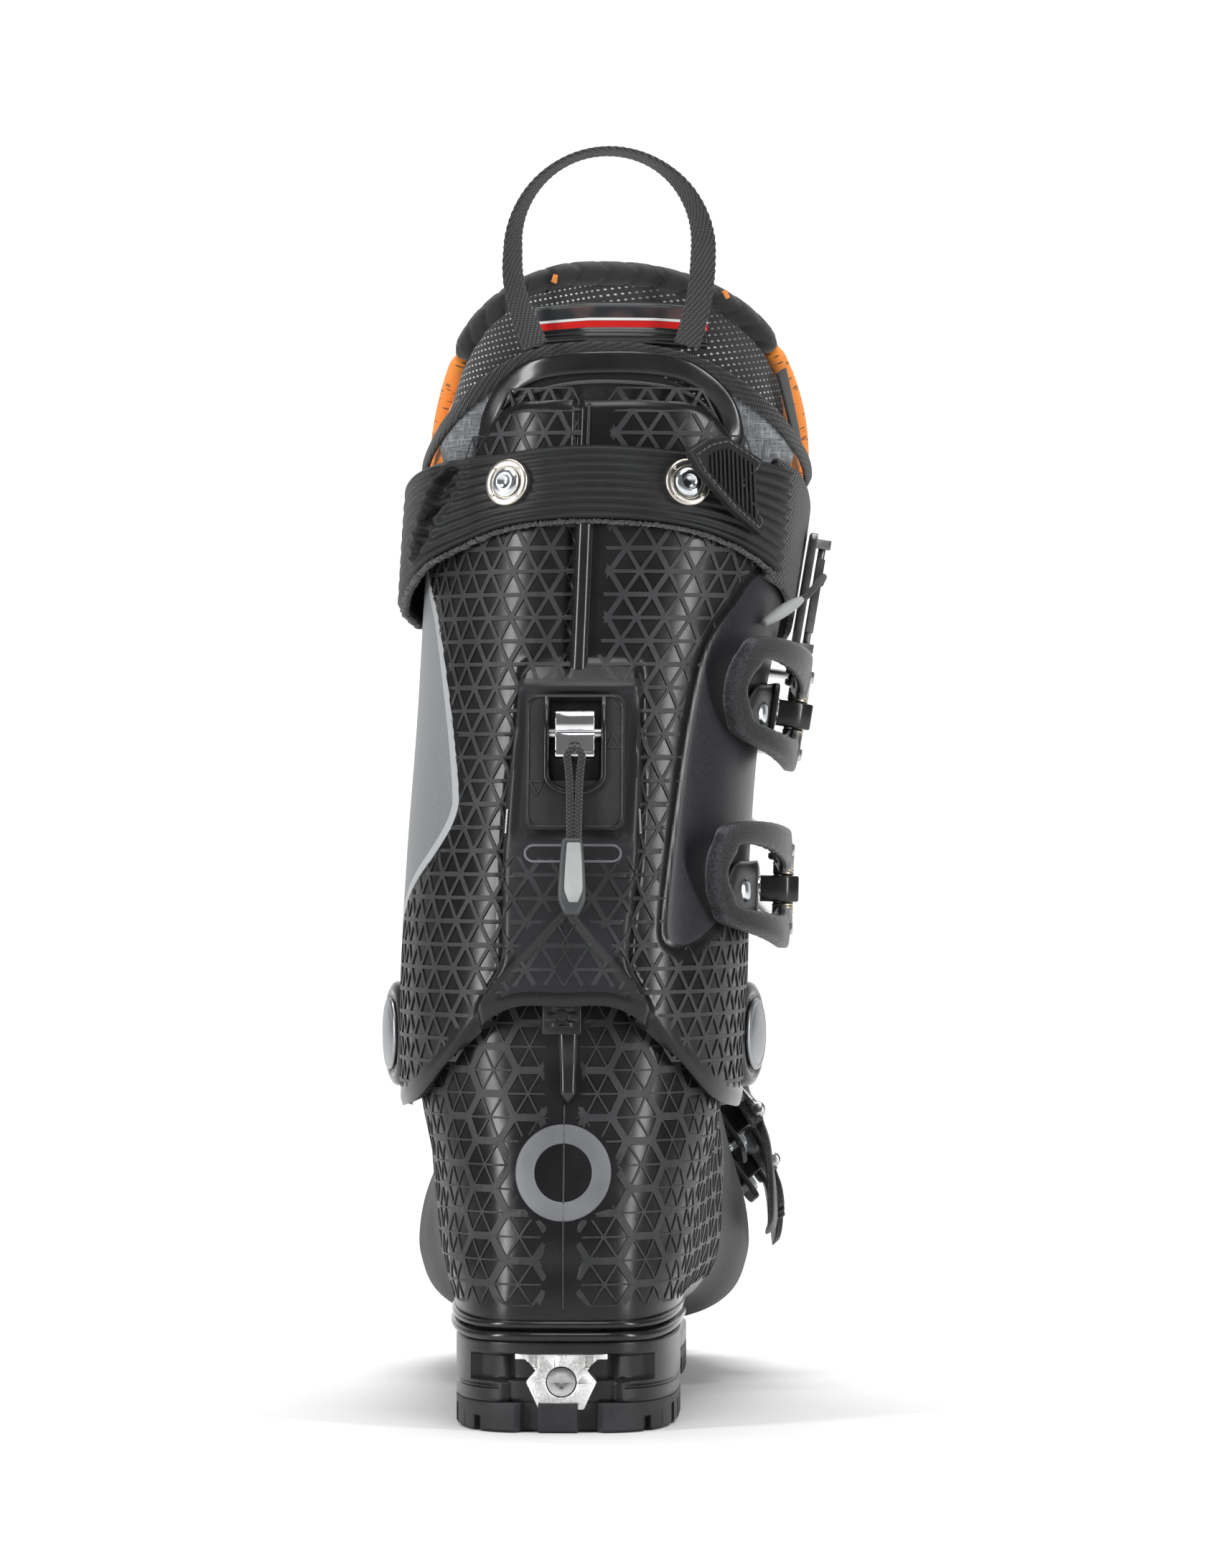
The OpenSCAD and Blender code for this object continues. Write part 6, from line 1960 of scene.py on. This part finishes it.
def rear_spots(xz, o):
    """Points of the lower shell's back, seen along y, moved towards the viewer by o."""
    spots = []
    for x, z in xz:
        hit, _, _, _ = shell_tree.ray_cast(Vector((x, -140, z)) * MM, Vector((0, 1, 0)))
        y = hit[1] / MM if hit is not None else -86
        spots.append([x, y - o, z])
    return np.array(spots)


def build_details():
    """Plain disc and rib on the shell's back above the heel."""
    t = np.linspace(0, 2 * math.pi, 96, endpoint=False)
    # (radius, height over the shell) across the disc's flat ring
    ring_rows = [(14.8, -0.3), (14.8, 0.18), (14.3, 0.34), (9.4, 0.34), (8.9, 0.18), (8.9, -0.3)]
    rows = [rear_spots(np.c_[DISC[0] + r * np.cos(t), DISC[1] + r * np.sin(t)], o) for r, o in ring_rows]
    ring = fix_normals(grid("heel_disc", np.array(rows), [M["mark"]], wrap_rows=True, wrap_cols=True))
    piece(ring, "lower_shell")
    z = np.linspace(101, 150, 60)
    path = rear_spots(np.c_[np.full(60, 1.7), z], 0.6)
    swell = smooth(100.5, 104, z) * (0.75 + 0.25 * smooth(104, 128, z))
    section = slab_section(6.6, 5.4, 24, 2.6)
    rib = sweep("heel_rib", path, section, [M["rim"]], normals=[0, -1, 0], scale=swell)
    piece(rib, "lower_shell")
    seam_z = np.linspace(37, 101, 50)
    path = rear_spots(np.c_[np.full(50, 0.6), seam_z], 0.0)
    seam = sweep("heel_seam", path, circle_section(0.35, 8), [M["rim"]], normals=[0, -1, 0])
    piece(seam, "lower_shell")


# ---- carried-over CAD nodes ----
CAD_LOOKS = {
    "boot_board": "board", "sole_screws": "steel", "heel_fitting": "cast_silver",
    "heel_fitting_screw": "steel", "toe_inserts": "steel", "lock_bar": "black", "lock_bar_rivets": "black",
    "pivot_studs": "steel", "latch_bar": "steel", "instep_pin": "steel",
    "toe_pin": "steel", "upper_pin": "steel", "lower_pin": "steel", "instep_ladder": "black",
    "toe_ladder": "black", "upper_ladder": "black", "lower_ladder": "black", "shell_rivets": "dome",
    "cuff_rivets": "dome", "walk_plate": "plate", "walk_lever_pin": "steel", "cam_frame": "cam",
    "cam_lever": "cam"}
# width of the rounded edges in mm, where it isn't 0.25
SOFT_EDGES = {"boot_board": 1.0, "heel_fitting": 0.5, "walk_plate": 0.5, "cam_frame": 0.5, "cam_lever": 0.6,
              "upper_ladder": 0.4, "lower_ladder": 0.4, "instep_ladder": 0.4, "toe_ladder": 0.4,
              "lock_bar": 0.4, "latch_bar": 0.4}


def dress_cad():
    """Materials and softened edges of the CAD nodes that stay."""
    for name, key in CAD_LOOKS.items():
        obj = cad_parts[name]
        set_material(obj, M[key])
        modifier(obj, "WELD", merge_threshold=0.00002)
        round_edges(obj, SOFT_EDGES.get(name, 0.25), 32)
        obj.data.shade_smooth()
        obj.data.set_sharp_from_angle(angle=math.radians(35))


build_cuff()
build_spine_rib()
shell_tree = build_lower_shell()
build_liner()
build_trim()
build_loop()
build_strap()
build_walk()
build_caps()
build_buckles()
build_heel()
build_toe_sole()
build_details()
dress_cad()


# ---- studio ----
FLOOR_Z, WALL_Y, BEND_R = -0.2, 2200, 700
LIGHT_TARGET = (0, -0.05, 0.2)
CAMERA_BACK = 2000
VIEW_YAW = 2.0
VIEW_POINT = (16, -88, 199.6)
FRAME_HEIGHT = 482.1


def add_light(name, place, target, size, power, size_y=None):
    data = bpy.data.lights.new(name, "AREA")
    data.shape = "RECTANGLE"
    data.size = size
    data.size_y = size_y or size
    data.energy = power
    obj = bpy.data.objects.new(name, data)
    bpy.context.scene.collection.objects.link(obj)
    obj.location = place
    obj.rotation_euler = (Vector(target) - Vector(place)).to_track_quat("-Z", "Y").to_euler()


def build_studio():
    """Pale floor bent up into a wall, four soft lights and the camera of the photo."""
    n = Nodes("floor_pale", rough=0.75)
    tone = n.noise(n.position(), 0.004, 3, 0.5)
    floor_mat = n.done(n.mix(tone, (0.86, 0.86, 0.86), (0.89, 0.89, 0.89)), 0.8)
    profile = [(-4200, FLOOR_Z)]
    for v in np.linspace(0, math.pi / 2, 24):
        profile.append((WALL_Y - BEND_R + BEND_R * math.sin(v), FLOOR_Z + BEND_R - BEND_R * math.cos(v)))
    profile.append((WALL_Y, 4000))
    across = np.linspace(-4000, 4000, 5)
    points = np.array([[[x, y, z] for x in across] for y, z in profile])
    floor = fix_normals(grid("floor", points, [floor_mat]))
    world = bpy.data.worlds.new("studio")
    bpy.context.scene.world = world
    world.use_nodes = True
    background = world.node_tree.nodes["Background"]
    background.inputs["Color"].default_value = (1, 1, 1, 1)
    background.inputs["Strength"].default_value = 0.16
    add_light("left_strip", (-1.15, -0.85, 0.45), LIGHT_TARGET, 0.24, 17, 1.2)
    add_light("right_strip", (1.25, -0.75, 0.5), LIGHT_TARGET, 0.2, 14, 1.2)
    add_light("top_box", (0.1, -0.6, 1.6), (0, 0, 0.2), 0.7, 9)
    add_light("wall_wash", (0, 0.6, 2.2), (0, 2.2, 0.5), 1.6, 52)
    yaw = math.radians(VIEW_YAW)
    target = Vector(VIEW_POINT) * MM
    look = Vector((-math.sin(yaw), math.cos(yaw), 0))
    data = bpy.data.cameras.new("camera")
    data.sensor_fit = "VERTICAL"
    data.sensor_height = 24
    data.lens = 24 * CAMERA_BACK / FRAME_HEIGHT
    camera = bpy.data.objects.new("camera", data)
    bpy.context.scene.collection.objects.link(camera)
    camera.location = target - look * CAMERA_BACK * MM
    camera.rotation_euler = look.to_track_quat("-Z", "Y").to_euler()
    bpy.context.scene.camera = camera
    bpy.context.scene.view_settings.view_transform = "Standard"


build_studio()
